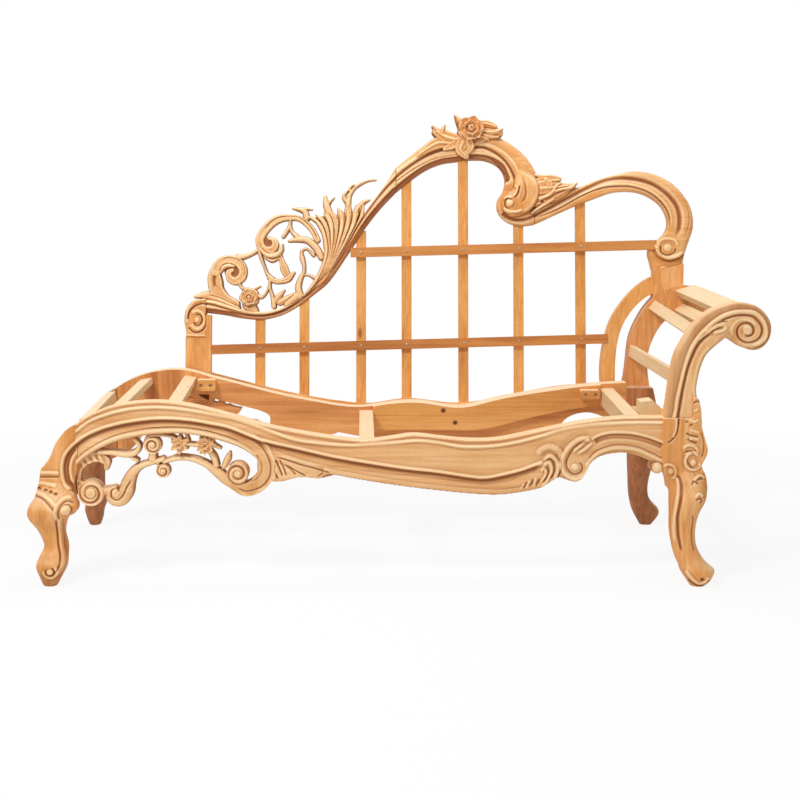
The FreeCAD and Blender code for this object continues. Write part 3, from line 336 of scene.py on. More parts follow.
def triangles_inside(sheet):
    """Triangulates the part of the sheet inside the outline, with its edge on the outline."""
    d = sheet.inside.copy()
    rows, cols = d.shape
    place = np.stack([sheet.x, sheet.z], axis=-1).reshape(-1, 2)
    gz, gx = np.gradient(d, sheet.step)
    slope = gx ** 2 + gz ** 2
    snap, steep = 0.35 * sheet.step, 0.3
    near = (np.abs(d) < snap) & (slope > steep)
    move = np.stack([gx, gz], axis=-1) * (np.where(near, d / np.maximum(slope, steep), 0))[..., None]
    place = place - move.reshape(-1, 2)
    d[near] = 0
    d = d.ravel()
    index = np.arange(rows * cols).reshape(rows, cols)
    a, b, c, e = index[:-1, :-1], index[:-1, 1:], index[1:, 1:], index[1:, :-1]
    even = (np.add.outer(np.arange(rows - 1), np.arange(cols - 1)) % 2 == 0)
    first = np.where(even[..., None], np.stack([a, b, c], -1), np.stack([a, b, e], -1))
    second = np.where(even[..., None], np.stack([a, c, e], -1), np.stack([b, c, e], -1))
    tris = np.concatenate([first.reshape(-1, 3), second.reshape(-1, 3)])
    inner = d[tris] >= 0
    count = inner.sum(axis=1)
    whole = tris[count == 3]
    extra_keys = []

    def turned(group, flag):
        start = np.argmax(inner[group] == flag, axis=1)
        picked = tris[group]
        return [picked[np.arange(len(picked)), (start + k) % 3] for k in range(3)]

    def crossing(inner_ids, outer_ids):
        """Vertex on the outline between an inner and an outer grid point."""
        key = inner_ids.astype(np.int64) * (rows * cols) + outer_ids
        extra_keys.append((key, inner_ids, outer_ids))
        return np.where(d[inner_ids] == 0, inner_ids, -1 - key)

    i, o1, o2 = turned(count == 1, True)
    ones = np.stack([i, crossing(i, o1), crossing(i, o2)], -1)
    o, i1, i2 = turned(count == 2, False)
    p1, p2 = crossing(i1, o), crossing(i2, o)
    twos = np.concatenate([np.stack([p1, i1, i2], -1), np.stack([p1, i2, p2], -1)])
    faces = np.concatenate([whole.astype(np.int64), ones, twos])
    key = np.concatenate([k for k, _, _ in extra_keys])
    ins = np.concatenate([k for _, k, _ in extra_keys])
    outs = np.concatenate([k for _, _, k in extra_keys])
    key, first_at = np.unique(key, return_index=True)
    ins, outs = ins[first_at], outs[first_at]
    t = d[ins] / (d[ins] - d[outs])
    crossed = place[ins] + (place[outs] - place[ins]) * t[:, None]
    at_crossing = faces < 0
    faces[at_crossing] = rows * cols + np.searchsorted(key, -1 - faces[at_crossing])
    proper = (faces[:, 0] != faces[:, 1]) & (faces[:, 1] != faces[:, 2]) & (faces[:, 2] != faces[:, 0])
    faces = faces[proper]
    used, faces = np.unique(faces, return_inverse=True)
    return np.concatenate([place, crossed])[used], faces.reshape(-1, 3)


def rim_edges(faces):
    """Directed edges that only one triangle has."""
    edges = np.concatenate([faces[:, [0, 1]], faces[:, [1, 2]], faces[:, [2, 0]]])
    size = edges.max() + 1
    here = edges[:, 0] * size + edges[:, 1]
    back = edges[:, 1] * size + edges[:, 0]
    return edges[~np.isin(here, back)]


def loops_of(edges):
    """Closed loops of vertices from directed edges."""
    following = {}
    for a, b in edges.tolist():
        following.setdefault(a, []).append(b)
    loops = []
    while following:
        start = next(iter(following))
        loop = [start]
        at = start
        while True:
            nexts = following[at]
            step = nexts.pop()
            if not nexts:
                del following[at]
            if step == start:
                break
            loop.append(step)
            at = step
        loops.append(loop)
    return loops


def plain_mesh(name, verts, faces):
    mesh = bpy.data.meshes.new(name)
    mesh.from_pydata([tuple(v) for v in verts], [], [tuple(f) for f in faces])
    return mesh


def put(name, data):
    """Puts an object with this data in the scene."""
    thing = bpy.data.objects.new(name, data)
    bpy.context.scene.collection.objects.link(thing)
    return thing


def settled(thing):
    """Plain mesh that an object's modifiers make. The object goes."""
    mesh = thing.data
    depsgraph = bpy.context.evaluated_depsgraph_get()
    done = bpy.data.meshes.new_from_object(thing.evaluated_get(depsgraph))
    bpy.data.objects.remove(thing)
    bpy.data.meshes.remove(mesh)
    return done


def read(items, key, width=3):
    """One value of each item as an array."""
    values = np.empty(len(items) * width)
    items.foreach_get(key, values)
    return values.reshape(-1, width)


def set_hollow(mesh, tone):
    """Keeps how deep each vertex lies, for the painted shade and painted highlight in the wood's colour."""
    layer = mesh.attributes.new("hollow", "FLOAT", "POINT")
    layer.data.foreach_set("value", np.asarray(tone, np.float32))


def new_piece(name, verts, faces, material, nodes, tone):
    """Carved piece at the origin from vertices and faces."""
    mesh = plain_mesh(name, verts, faces)
    set_hollow(mesh, tone)
    mesh.validate()
    add_piece(name, mesh, material, nodes)


def add_piece(name, mesh, material, nodes, sharp=42):
    """Shades a mesh smooth and hands it to the frame."""
    mesh.shade_smooth()
    mesh.set_sharp_from_angle(angle=math.radians(sharp))
    piece = put(name, mesh)
    mesh.materials.clear()
    mesh.materials.append(material)
    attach(piece, BODY)
    if nodes:
        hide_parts(*nodes)


def flat_cap(points, numbers, rim):
    """Fills a flat outline without holes."""
    loops = loops_of(rim)
    corners = [k for loop in loops for k in loop]
    lines = [[Vector((*points[numbers[k]], 0)) for k in loop] for loop in loops]
    caps = []
    for tri in tessellate_polygon(lines):
        a, b, c = (numbers[corners[k]] for k in tri)
        turn = np.cross(points[b] - points[a], points[c] - points[a])
        if turn:
            caps.append((a, b, c) if turn < 0 else (c, b, a))
    return caps


def board_piece(name, node_name, sheet, plane, face, back, finish, grain, soften=0):
    """Solid board with the sheet's relief on its face and a flat back."""
    if soften:
        sheet.height = sheet.blur(sheet.height, soften)
    points, faces = triangles_inside(sheet)
    hollow = sheet.hollows()
    x, z = points[:, 0], points[:, 1]
    relief = bpy.context.scene.chaise_carving.depth * (sheet.sample(sheet.height, x, z) - sheet.drop(x, z))
    front = to_world(plane, x, np.minimum(face - relief, back - 1), z)
    rim = rim_edges(faces)
    total = len(points)
    a, b = rim[:, 0], rim[:, 1]
    # A board without openings, or one too large to mirror, gets a flat back of few faces
    most_mirrored = 90000
    if len(loops_of(rim)) == 1 or len(faces) > most_mirrored:
        rim_ids = np.unique(rim)
        number = np.full(total, -1)
        number[rim_ids] = np.arange(len(rim_ids))
        base = to_world(plane, x[rim_ids], back + 0 * x[rim_ids], z[rim_ids])
        caps = [[total + k for k in f] for f in flat_cap(points[rim_ids], number, rim)]
    else:
        number = np.arange(total)
        base = to_world(plane, x, back + 0 * x, z)
        caps = (faces[:, ::-1] + total).tolist()
    walls = np.stack([b, a, total + number[a], total + number[b]], -1)
    # Painted shade: the back of a board is coloured a little darker
    back_painted_shade = 0.1
    tone = np.concatenate([sheet.sample(hollow, x, z), np.full(len(base), back_painted_shade)])
    new_piece(name, np.concatenate([front, base]), faces.tolist() + walls.tolist() + caps,
              wood(finish, grain), [node_name], tone)


def arc(x, z, radius, start, stop):
    """Points on an arc, with its angles in degrees."""
    turns = np.radians(np.linspace(start, stop, 7))
    return [(x + radius * math.cos(turn), z + radius * math.sin(turn)) for turn in turns]


# Profiles across a strap, from -1 to 1

def roll(v):
    """Half round."""
    return np.sqrt(np.clip(1 - v * v, 0, 1))


def scoop(v):
    """Hollow gouged between two raised lips."""
    v = np.abs(v)
    return (0.45 + 0.55 * v ** 2.4) * fade(1 - v, 0, 0.22)


def reed(v):
    """Half round with a vein along its middle."""
    return roll(v) - 0.4 * np.exp(-(v / 0.2) ** 2)


def leaf(v):
    """Leaf with a raised midrib and hollowed halves."""
    w = np.abs(v)
    return (0.55 + 0.45 * np.exp(-(w / 0.2) ** 2) + 0.3 * w ** 3) * fade(1 - w, 0, 0.25)


FORMS = {"roll": roll, "scoop": scoop, "reed": reed, "leaf": leaf}


def lay_straps(sheet, straps, top, deep):
    """Carves straps given as (form, lift, spine, half widths), one over the other."""
    for form, lift, spine, halves in straps:
        margin, across = sheet.strap(spine, halves)
        sheet.add(margin)
        profile = FORMS[form](np.clip(across, -1, 1))
        cap = np.sqrt(np.clip(margin / 5 + 0.15, 0, 1))
        sheet.raise_to(margin, top + lift - deep * (1 - profile * cap))


# Middles of the two roses, as x and distance up the back's slope
ring_rose, crest_rose = (-408, 282), (219, 759)


def blossom(sheet, x, z, radius, top, deep, rim, power, ripple, squash=1.0):
    """Wavy cup of petals. Returns its height, and how far each place is from its middle (1 at the rim)."""
    dx, dz = sheet.x - x, (sheet.z - z) * squash
    far = np.hypot(dx, dz) / (radius * (1 + ripple * np.cos(5 * np.arctan2(dz, dx) + radius)))
    sheet.add((1 - far) * radius)
    return top - deep * (1 - (0.35 + 0.65 * far ** power) * fade(1 - far, 0, rim)), far


# Materials

def linear(hex_code):
    """sRGB hex to linear colour."""
    parts = [int(hex_code[k:k + 2], 16) / 255 for k in (1, 3, 5)]
    return [c / 12.92 if c <= 0.04045 else ((c + 0.055) / 1.055) ** 2.4 for c in parts] + [1]


def node(tree, kind, settings=None, **links):
    """Adds a node, sets its properties, colour stops and inputs, and links sockets that are given."""
    made = tree.nodes.new(kind)
    for key, value in (settings or {}).items():
        if key != "stops":
            setattr(made, key, value)
            continue
        while len(made.color_ramp.elements) < len(value):
            made.color_ramp.elements.new(0.5)
        for element, (at, color) in zip(made.color_ramp.elements, value):
            element.position, element.color = at, color
    for key, value in links.items():
        socket = made.inputs[int(key[1:])] if key[1:].isdigit() else made.inputs[key.replace("_", " ")]
        if isinstance(value, bpy.types.NodeSocket):
            tree.links.new(value, socket)
        else:
            socket.default_value = value
    return made


def plain_or_mirrored(tree):
    """1 for what the camera sees straight or in a reflection, 0 for the light that falls on things."""
    path = node(tree, "ShaderNodeLightPath")
    return node(tree, "ShaderNodeMath", {"operation": "MAXIMUM"}, i0=path.outputs["Is Camera Ray"],
                i1=path.outputs["Is Glossy Ray"]).outputs[0]


def new_material(name):
    material = bpy.data.materials.new(name)
    material.use_nodes = True
    return material, material.node_tree


GRAINS = {"level": (0, 0, 0), "upright": (0, math.radians(90), 0), "deep": (0, 0, math.radians(90)),
          "falling": (0, math.radians(-35), 0)}

# Wood finishes: light, middle and dark colours, the colour of the painted shade in hollows and of knots,
# ring spacing and figure length in mm, strength of the figure, and whether there are knots
FINISHES = {
    # Raw beech, hand carved and sanded: pale peach, close grain, with painted shade in the gouged hollows
    "carved_beech": ("#FAD3A0", "#ECB478", "#C8843E", "#96501C", 9, 260, 0.8, False),
    # The same beech, browner from handling, on the legs, the crest and the posts
    "worn_beech": ("#F8C488", "#E8A056", "#B97230", "#8A4412", 9, 260, 0.9, False),
    # Raw beech left from the saw on the rear carcase: redder, and not sanded
    "rear_beech": ("#F2B06A", "#DC9250", "#A2561E", "#66300E", 11, 300, 1.0, False),
    # Rear legs: the beech made darker and redder as painted shade, and unsanded
    "red_beech": ("#CF8850", "#AC6838", "#7E441C", "#5A2A0C", 11, 300, 1.0, False),
    # Sawn pine battens: orange, with clear late wood lines and knots
    "sawn_pine": ("#F4B870", "#E49E50", "#B86A26", "#7A3E16", 6, 420, 1.0, True),
    # Older pine of the battens nailed across: darker orange
    "amber_pine": ("#DC9850", "#CC803A", "#96521F", "#68320E", 6, 420, 1.0, True),
    # Fresh sawn pale timber of the cross members: cream
    "pale_pine": ("#EED2AA", "#DEBC8C", "#CFA470", "#A06C3C", 8, 420, 0.8, True),
}
# Colours of big knots, of the painted highlight on ridges and of the painted highlight on what faces up
KNOT, PAINTED_RIDGE_LIGHT, PAINTED_TOP_LIGHT = "#5A2A0E", "#FFE0AE", "#FFE8C2"
made_woods = {}


def wood(finish, grain, big_knots=()):
    """Wood in one finish, with its grain running one way and big knots at places in the drawing."""
    name = finish + "_" + grain + "_knotty" * bool(big_knots)
    if name in made_woods:
        return made_woods[name]
    light, _, dark, shade_and_knot, ring_mm, figure_mm, strength, knots = FINISHES[finish]
    light, dark, shade_and_knot = linear(light), linear(dark), linear(shade_and_knot)
    middle = list(getattr(bpy.context.scene.chaise_wood, finish))
    black, white = (0, 0, 0, 1), (1, 1, 1, 1)
    material, tree = new_material(name)
    shader = tree.nodes["Principled BSDF"]
    place = node(tree, "ShaderNodeTexCoord").outputs["Object"]
    turned = node(tree, "ShaderNodeMapping", Vector=place, Rotation=GRAINS[grain]).outputs[0]
    pore_mm, pore_wide_mm = 9, 1.1
    # Growth rings, broad changes of colour and pores: scale, detail, roughness and distortion
    fields = []
    for scale, detail, rough, bent in (
            ((1000 / figure_mm, 1000 / ring_mm, 1000 / ring_mm), 5.0, 0.55, 0.6), ((3, 16, 16), 3.0, 0.5, 0.0),
            ((1000 / pore_mm, 1000 / pore_wide_mm, 1000 / pore_wide_mm), 2.0, 0.5, 0.0)):
        along = node(tree, "ShaderNodeMapping", Vector=turned, Scale=scale).outputs[0]
        fields.append(node(tree, "ShaderNodeTexNoise", Vector=along, Scale=1.0, Detail=detail,
                           Roughness=rough, Distortion=bent).outputs["Fac"])
    figure, wide, fine = fields
    color, broad, pores = (
        node(tree, "ShaderNodeValToRGB", {"stops": stops}, Fac=field).outputs["Color"] for field, stops in (
            (figure, [(0.3, light), (0.5, middle), (0.72, dark)]),
            (wide, [(0.35, light), (0.5, middle), (0.68, dark)]), (fine, [(0.56, black), (0.72, white)])))
    pore_share = node(tree, "ShaderNodeMath", {"operation": "MULTIPLY"}, i0=pores, i1=0.38).outputs[0]
    # What lies over the figure, from the bottom up: its share and colour
    layers = [(1 - 0.8 * strength, middle), (0.4, broad), (pore_share, dark)]
    if knots:
        along = node(tree, "ShaderNodeMapping", Vector=turned, Scale=(4.2, 11, 11)).outputs[0]
        cell = node(tree, "ShaderNodeTexVoronoi", Vector=along, Scale=1.0).outputs["Distance"]
        spot = node(tree, "ShaderNodeValToRGB", {"stops": [(0.05, white), (0.11, black)]}, Fac=cell)
        layers.append((spot.outputs["Color"], shade_and_knot))
    # Layers whose share comes from a measure: the measure, its range, the share's range and the colour
    measured = []
    for x, z in big_knots:
        flat = node(tree, "ShaderNodeVectorMath", {"operation": "MULTIPLY"}, i0=place, i1=(1, 0, 1)).outputs[0]
        away = node(tree, "ShaderNodeVectorMath", {"operation": "DISTANCE"}, i0=flat,
                    i1=(x / 1000 + shift_x, 0, z / 1000)).outputs["Value"]
        measured.append((away, 0.004, 0.009, 1.0, 0.0, linear(KNOT)))
    # Painted shade where a place lies below its surroundings, and painted highlight on ridges
    hollow = node(tree, "ShaderNodeAttribute", {"attribute_name": "hollow"}).outputs["Fac"]
    measured.append((hollow, 0.04, 0.7, 0.0, 0.9, shade_and_knot))
    measured.append((hollow, -0.1, -0.6, 0.0, 0.7, linear(PAINTED_RIDGE_LIGHT)))
    # Painted highlight: what faces up is made paler, as light from above would make it
    facing = node(tree, "ShaderNodeNewGeometry").outputs["Normal"]
    upward = node(tree, "ShaderNodeSeparateXYZ", Vector=facing).outputs["Z"]
    top_light_share = 0.8 if finish in ("rear_beech", "sawn_pine") else 0.45
    measured.append((upward, 0.3, 0.95, 0.0, top_light_share, linear(PAINTED_TOP_LIGHT)))
    for value, low, high, to_low, to_high, over in measured:
        share = node(tree, "ShaderNodeMapRange", Value=value, i1=low, i2=high, i3=to_low, i4=to_high)
        layers.append((share.outputs[0], over))
    for share, over in layers:
        color = node(tree, "ShaderNodeMix", {"data_type": "RGBA", "clamp_result": True}, i0=share, i6=color,
                     i7=over).outputs[2]
    tree.links.new(color, shader.inputs["Base Color"])
    dull = node(tree, "ShaderNodeMapRange", Value=wide, i1=0.3, i2=0.7, i3=0.52, i4=0.68).outputs[0]
    tree.links.new(dull, shader.inputs["Roughness"])
    uneven = node(tree, "ShaderNodeTexNoise", Vector=place, Scale=70.0, Detail=2.0).outputs["Fac"]
    chisel = node(tree, "ShaderNodeBump", Height=uneven, Strength=0.35, Distance=0.002).outputs[0]
    bump = node(tree, "ShaderNodeBump", Height=fine, Strength=0.15, Distance=0.0006, Normal=chisel).outputs[0]
    tree.links.new(bump, shader.inputs["Normal"])
    made_woods[name] = material
    return material


# Carving of the front rail, as x and z in the plane of its face

left_joint, right_joint, rear_left_joint = -788, 648, -771
front_top = [
    (left_joint, 393), (-751, 417), (-702, 437), (-641, 448), (-580, 450), (-507, 441), (-410, 417),
    (-313, 389), (-216, 370), (-118, 356), (-70, 354), (-10, 362), (40, 368), (113, 360), (175, 355),
    (247, 358), (344, 378), (441, 398), (539, 410), (right_joint, 412)]
opening_edge = [(-350, 313), (-386, 337), (-447, 358), (-520, 371), (-605, 369),
                (-679, 355), (-728, 335), (-770, 308), (left_joint, 290)]
right_arch = [(right_joint, 290), (613, 306), (569, 322), (530, 324), (491, 315), (468, 296), (460, 280)]
lower_edge = [(460, 280), (443, 257), (424, 254), (394, 263), (375, 256), (350, 239), (309, 229),
              (248, 221), (185, 223), (102, 231), (4, 243), (-91, 258), (-155, 270)]
leaf_edge = [(-155, 270), (-192, 261), (-240, 264), (-282, 254), (-309, 254)]
volute_joint, volute_left, volute_right = 303, -345, -302
main_bead = [
    (-802, 235), (-815, 249), (-820, 268), (-821, 293), (-815, 318), (-802, 337), (-788, 350), (-764, 367),
    (-732, 382), (-702, 392), (-663, 401), (-605, 409), (-556, 410), (-507, 406), (-459, 398), (-410, 387),
    (-333, 357), (-240, 335), (-143, 313), (4, 289), (91, 279), (178, 266), (213, 264), (248, 270), (300, 283),
    (348, 301)]
second_bead = [
    (-788, 377), (-751, 404), (-702, 422), (-653, 433), (-604, 437), (-556, 436), (-507, 430), (-459, 421),
    (-386, 404), (-313, 379), (-240, 355), (-118, 344), (4, 352), (52, 355), (101, 350), (150, 341), (199, 340),
    (247, 344), (296, 353), (345, 366), (395, 381), (442, 390), (490, 396), (568, 400), (660, 400)]
band_line = [(-306, 335), (-269, 321), (-231, 309), (-185, 297), (-129, 288), (-59, 278), (4, 271),
             (91, 262), (178, 250), (213, 247), (257, 252), (300, 266)]
volute_rim = [(-365, 373), (-343, 361), (-322, 342), (-307, 314), (-301, 290), (-304, 266), (-318, 243),
              (-344, 225), (-367, 218), (-392, 226)]
volute_line = [(-372, 363), (-348, 352), (-330, 334), (-317, 312), (-312, 290), (-315, 266), (-330, 245),
               (-351, 234), (-374, 230), (-396, 240)]
inner_line = [(-620, 385), (-556, 387), (-507, 384), (-459, 375), (-410, 360), (-372, 342), (-348, 322),
              (-334, 296), (-336, 276), (-350, 258), (-372, 252)]
arch_top_bead = [(473, 361), (495, 371), (525, 376), (569, 374), (612, 364), (650, 349)]
arch_low_bead = [(462, 300), (483, 322), (517, 335), (548, 337), (582, 332), (613, 319), (650, 301)]
arch_knob, knob_radius = (631, 288), 14
volute_eye = (-393, 273)


def carve_rail_face(sheet):
    """Mouldings, volute, leaves, tuft and scroll, common to the rail and its volute block."""
    sheet.band(front_top[::-1], 0, 11, -3.0, 9)
    sheet.ridge(second_bead, 4.5, 3.2, 0.0)
    sheet.band(second_bead, -11, -4, -0.9, 4)
    # Cove under the main bead, deepest close to it
    sheet.slope(main_bead, 32, 8)
    sheet.ridge(main_bead, 5.6, 5.2, 0.0)
    # Half-round band along the lower edge
    sheet.groove(band_line, 3.2, 0.9, 0.04)
    bottom = lower_edge[4:] + [(-185, 277)]
    sheet.ridge([(x, z + 7) for x, z in bottom], 7.5, 3.4, 0.02)
    # Painted shade near the lower edge, under the band
    sheet.painted_shade += 0.3 * (1 - fade(sheet.from_line(bottom, 24)[0], 8, 22))
    # Roll beside the opening, and its quirk
    edge = opening_edge[::-1]
    sheet.ridge([(x, z + 8) for x, z in edge], 6.5, 3.4, 0.0)
    sheet.groove([(x, z + 16) for x, z in edge[:-1]], 2.4, 2.2, 0.02)
    sheet.groove(inner_line, 2.6, 2.2, 0.05)
    sheet.ridge(volute_rim, 5, 3.4, 0.08)
    sheet.groove(volute_line, 3.2, 3.2, 0.06)
    # Leaves on the right of the volute
    for line in (
            [(-301, 311), (-292, 290), (-281, 262)], [(-292, 310), (-281, 290), (-272, 264)],
            [(-300, 300), (-301, 276), (-292, 257)], [(-276, 297), (-250, 280), (-222, 266)],
            [(-284, 300), (-262, 283), (-248, 268)]):
        sheet.groove(line, 3.4, 4.6, 0.2)
    sheet.groove([(-302, 316), (-269, 306), (-241, 296), (-211, 288), (-185, 281), (-164, 276)], 3.4, 4.0, 0.1)
    sheet.ridge([(-296, 320), (-262, 311), (-230, 302), (-190, 292)], 4, 1.8, 0.2)
    sheet.groove([(-199, 265), (-190, 271), (-183, 279)], 2.4, 2.2, 0.2)
    sheet.groove([(-187, 264), (-176, 269), (-162, 273)], 2.4, 2.2, 0.2)
    # Arch on the right
    sheet.band(arch_top_bead[::-1], 3, 17, -3.8, 4, 0.04)
    sheet.ridge(arch_top_bead, 4.6, 3.4, 0.0)
    sheet.ridge(arch_low_bead, 5.2, 3.2, 0.0)
    sheet.groove([(x, z + 8) for x, z in arch_low_bead], 2.4, 2.0, 0.05)
    # Tuft of curling leaves
    for line, half, rise in (
            ([(336, 318), (350, 334), (370, 340), (390, 330), (400, 306)], 9, 4.2),
            ([(350, 303), (369, 318), (387, 302), (386, 272), (364, 243)], 5.5, 5.2),
            ([(350, 291), (366, 301), (374, 282), (361, 254), (346, 240)], 5, 5.0),
            ([(346, 279), (356, 287), (359, 272), (343, 246)], 4.2, 4.4),
            ([(337, 265), (330, 243)], 3.6, 3.2), ([(322, 258), (311, 238)], 3.6, 3.0),
            ([(308, 250), (298, 236)], 3.4, 2.4)):
        sheet.ridge(line, half, rise, 0.14)
    for line in (
            [(356, 306), (369, 310), (378, 298), (377, 274), (358, 247)],
            [(352, 283), (362, 288), (366, 276), (352, 247)], [(345, 262), (336, 241)],
            [(394, 312), (399, 290), (388, 262)], [(330, 262), (321, 239)], [(315, 254), (305, 236)]):
        sheet.groove(line, 2.4, 3.0, 0.16)
    # Scroll with its eye and small leaves
    sheet.band([(471, 352), (443, 350), (425, 336), (412, 314), (408, 292), (417, 276), (433, 268)],
               -30, 0, -1.5, 8, 0.1)
    sheet.ridge([(470, 361), (443, 359), (417, 341), (402, 315), (398, 292), (409, 271), (431, 260),
                 (452, 268), (462, 286), (460, 303)], 7, 5.2, 0.05)
    sheet.groove([(465, 352), (443, 347), (425, 332), (413, 311), (410, 294), (418, 279), (432, 272),
                  (446, 280), (448, 294), (438, 303)], 3.2, 3.4, 0.08)
    sheet.ball(431, 290, 9.5, 5.5)
    for line in (
            [(422, 325), (439, 340), (456, 353), (470, 356)],
            [(432, 321), (452, 333), (465, 344), (474, 352)]):
        sheet.ridge(line, 4.6, 4.4, 0.2)
    sheet.ball(*arch_knob, knob_radius, 9)


def carve_front_rail():
    sheet = Sheet(left_joint - 4, right_joint + 4, 212, 456, 1.75)
    shoulder_right, shoulder_left = (volute_right, volute_joint), (volute_left, volute_joint)
    sheet.outline([front_top, [front_top[-1], right_arch[0]], right_arch, lower_edge, leaf_edge,
                   [leaf_edge[-1], shoulder_right], [shoulder_right, shoulder_left],
                   [shoulder_left] + opening_edge, [opening_edge[-1], front_top[0]]])
    sheet.add(sheet.disc(*arch_knob, knob_radius))
    carve_rail_face(sheet)
    sheet.round_edge([front_top], 6, 3.5)
    sheet.round_edge([opening_edge, right_arch, lower_edge, leaf_edge], 6, 3.5)
    board_piece("front_rail_carving", "front_rail", sheet, "front", 0, rail_thick, "carved_beech", "level", 0.9)


def carve_front_volute():
    sheet = Sheet(-426, -292, 208, volute_joint + 3, 1.2)
    spine = [(-323, 291), (-323, 280), (-332, 258), (-352, 240), (-376, 234), (-402, 246)]
    sheet.add(sheet.strap(spine, [21, 21, 20, 18, 16, 13])[0])
    sheet.add(np.minimum(np.minimum(sheet.x - volute_left, volute_right - sheet.x), sheet.z - 282))
    sheet.add(sheet.disc(*volute_eye, 27))
    sheet.cut(sheet.z - volute_joint)
    carve_rail_face(sheet)
    sheet.scroll(*volute_eye, 28, 9.5, 15, 2.4, 1, 4.5, 6)
    joint_gap = np.where(sheet.z > volute_joint - 8, FAR, sheet.inside)
    sheet.edges.append((joint_gap, 5, 3.5))
    board_piece("front_volute_carving", "front_rail_volute", sheet, "front", 0, rail_thick,
                "carved_beech", "upright", 0.9)


# Pierced carving under the left arch

def star(sheet, x, z, radius, top, petals=6, turn=90):
    """Flower of pointed petals round a small heart."""
    for k in range(petals):
        angle = math.radians(turn + 360 / petals * k)
        spine = [(x + radius * far * math.cos(angle),
                  z + radius * far * math.sin(angle)) for far in (0, 0.55, 1)]
        lay_straps(sheet, [("leaf", 0, spine, [radius * 0.16, radius * 0.3, 1])], top, 6)
    sheet.ball(x, z, radius * 0.24, 4)


left_star, right_star = (-535, 344), (-472, 342)


def carve_front_fretwork():
    sheet = Sheet(-800, -384, 186, 390, 1.3)
    ground = -14.0
    sheet.height[:] = ground
    straps = [
        ("roll", 0, [(-574, 300), (-557, 305), (-538, 310), (-516, 309), (-491, 303), (-466, 291), (-444, 274),
                     (-424, 257), (-404, 242)], [6, 7, 8, 8, 9, 10, 13, 14, 12]),
        ("roll", 1, [(-576, 306), (-604, 299), (-630, 290), (-650, 274), (-662, 250), (-669, 226), (-682, 209),
                     (-698, 208), (-705, 221), (-696, 231)], [7, 8, 9, 13, 17, 20, 20, 18, 15, 11]),
        ("roll", 0, [(-735, 224), (-705, 228)], [12, 12]),
        ("scoop", 0, [(-784, 272), (-786, 250), (-772, 236)], [9, 10, 12]),
        ("scoop", 1, [(-792, 256), (-784, 286), (-766, 306), (-738, 313), (-716, 302), (-716, 284)],
         [10, 13, 15, 14, 11, 6]),
        ("roll", 2, [(-732, 325), (-700, 323), (-665, 318), (-643, 324), (-634, 340), (-645, 356)],
         [8, 8, 9, 8, 6, 5]),
        ("roll", 0, [(-652, 310), (-640, 303)], [6, 6]),
        ("roll", 1, [(-601, 326), (-602, 306)], [10, 12]),
        ("roll", 2, [(-622, 345), (-612, 362), (-590, 367), (-557, 363), (-535, 351)], [4, 5, 5, 5, 5]),
        ("roll", 0, [(-578, 309), (-589, 296), (-585, 283)], [5, 5, 5]),
        ("roll", 0, [(-520, 344), (-490, 341)], [6, 6]),
        ("leaf", 1, [(-521, 374), (-514, 352)], [4, 5]),
        ("leaf", 1, [(-452, 362), (-455, 345), (-436, 333)], [4, 6, 4]),
        ("roll", 0, [(-463, 328), (-452, 312), (-446, 292)], [8, 9, 9]),
        ("leaf", 2, [(-427, 288), (-418, 306), (-412, 322)], [7, 9, 3]),
    ]
    lay_straps(sheet, straps, 0, 9)
    star(sheet, *left_star, 24, 3)
    star(sheet, *right_star, 26, 3, turn=60)
    for x, z, radius, eye, pitch, start, hand in (
            (-754, 223, 33, 14, 15, 2.6, -1), (-601, 342, 22, 6, 11, 1.0, 1), (-576, 278, 18, 6, 9, 2.0, -1)):
        sheet.add(sheet.disc(x, z, radius))
        sheet.scroll(x, z, radius, eye, pitch, start, hand, 3, 6)
    # Leaf lobes along the left scroll
    for line in (
            [(-768, 318), (-758, 302), (-752, 290)], [(-752, 322), (-742, 306), (-738, 292)],
            [(-735, 320), (-727, 306), (-724, 294)], [(-780, 306), (-770, 294), (-764, 282)]):
        sheet.ridge(line, 5, 3.5, 0.2)
    sheet.ball(-692, 222, 8, 4)
    sheet.groove([(-650, 262), (-664, 240), (-676, 216), (-690, 206), (-703, 214), (-702, 230), (-690, 235),
                  (-682, 226)], 3.2, 4.5, 0.1)
    sheet.groove([(-560, 312), (-530, 317), (-500, 312), (-470, 298), (-446, 281)], 2.4, 2.0, 0.2)
    sheet.ease(6, 5)
    sheet.height = np.maximum(sheet.height, ground)
    # Trimmed to the outlines of what it stands against
    rail = joined([opening_edge[::-1], [(-345, 303), (-302, 303)], [(-302, 303), (-302, 420)],
                   [(-302, 420), (-800, 420)], [(-800, 420), (-788, 290)]])
    sheet.cut(sheet.inside_of([[tuple(p), tuple(q)] for p, q in zip(rail, np.roll(rail, -1, axis=0))]))
    sheet.cut(-787.5 - sheet.x)
    board_piece("front_fretwork_carving", "front_fretwork", sheet, "front", carving_set, carving_back,
                "carved_beech", "level", 0.8)


# What repeats: petals round a flower, and heads of nails and screws

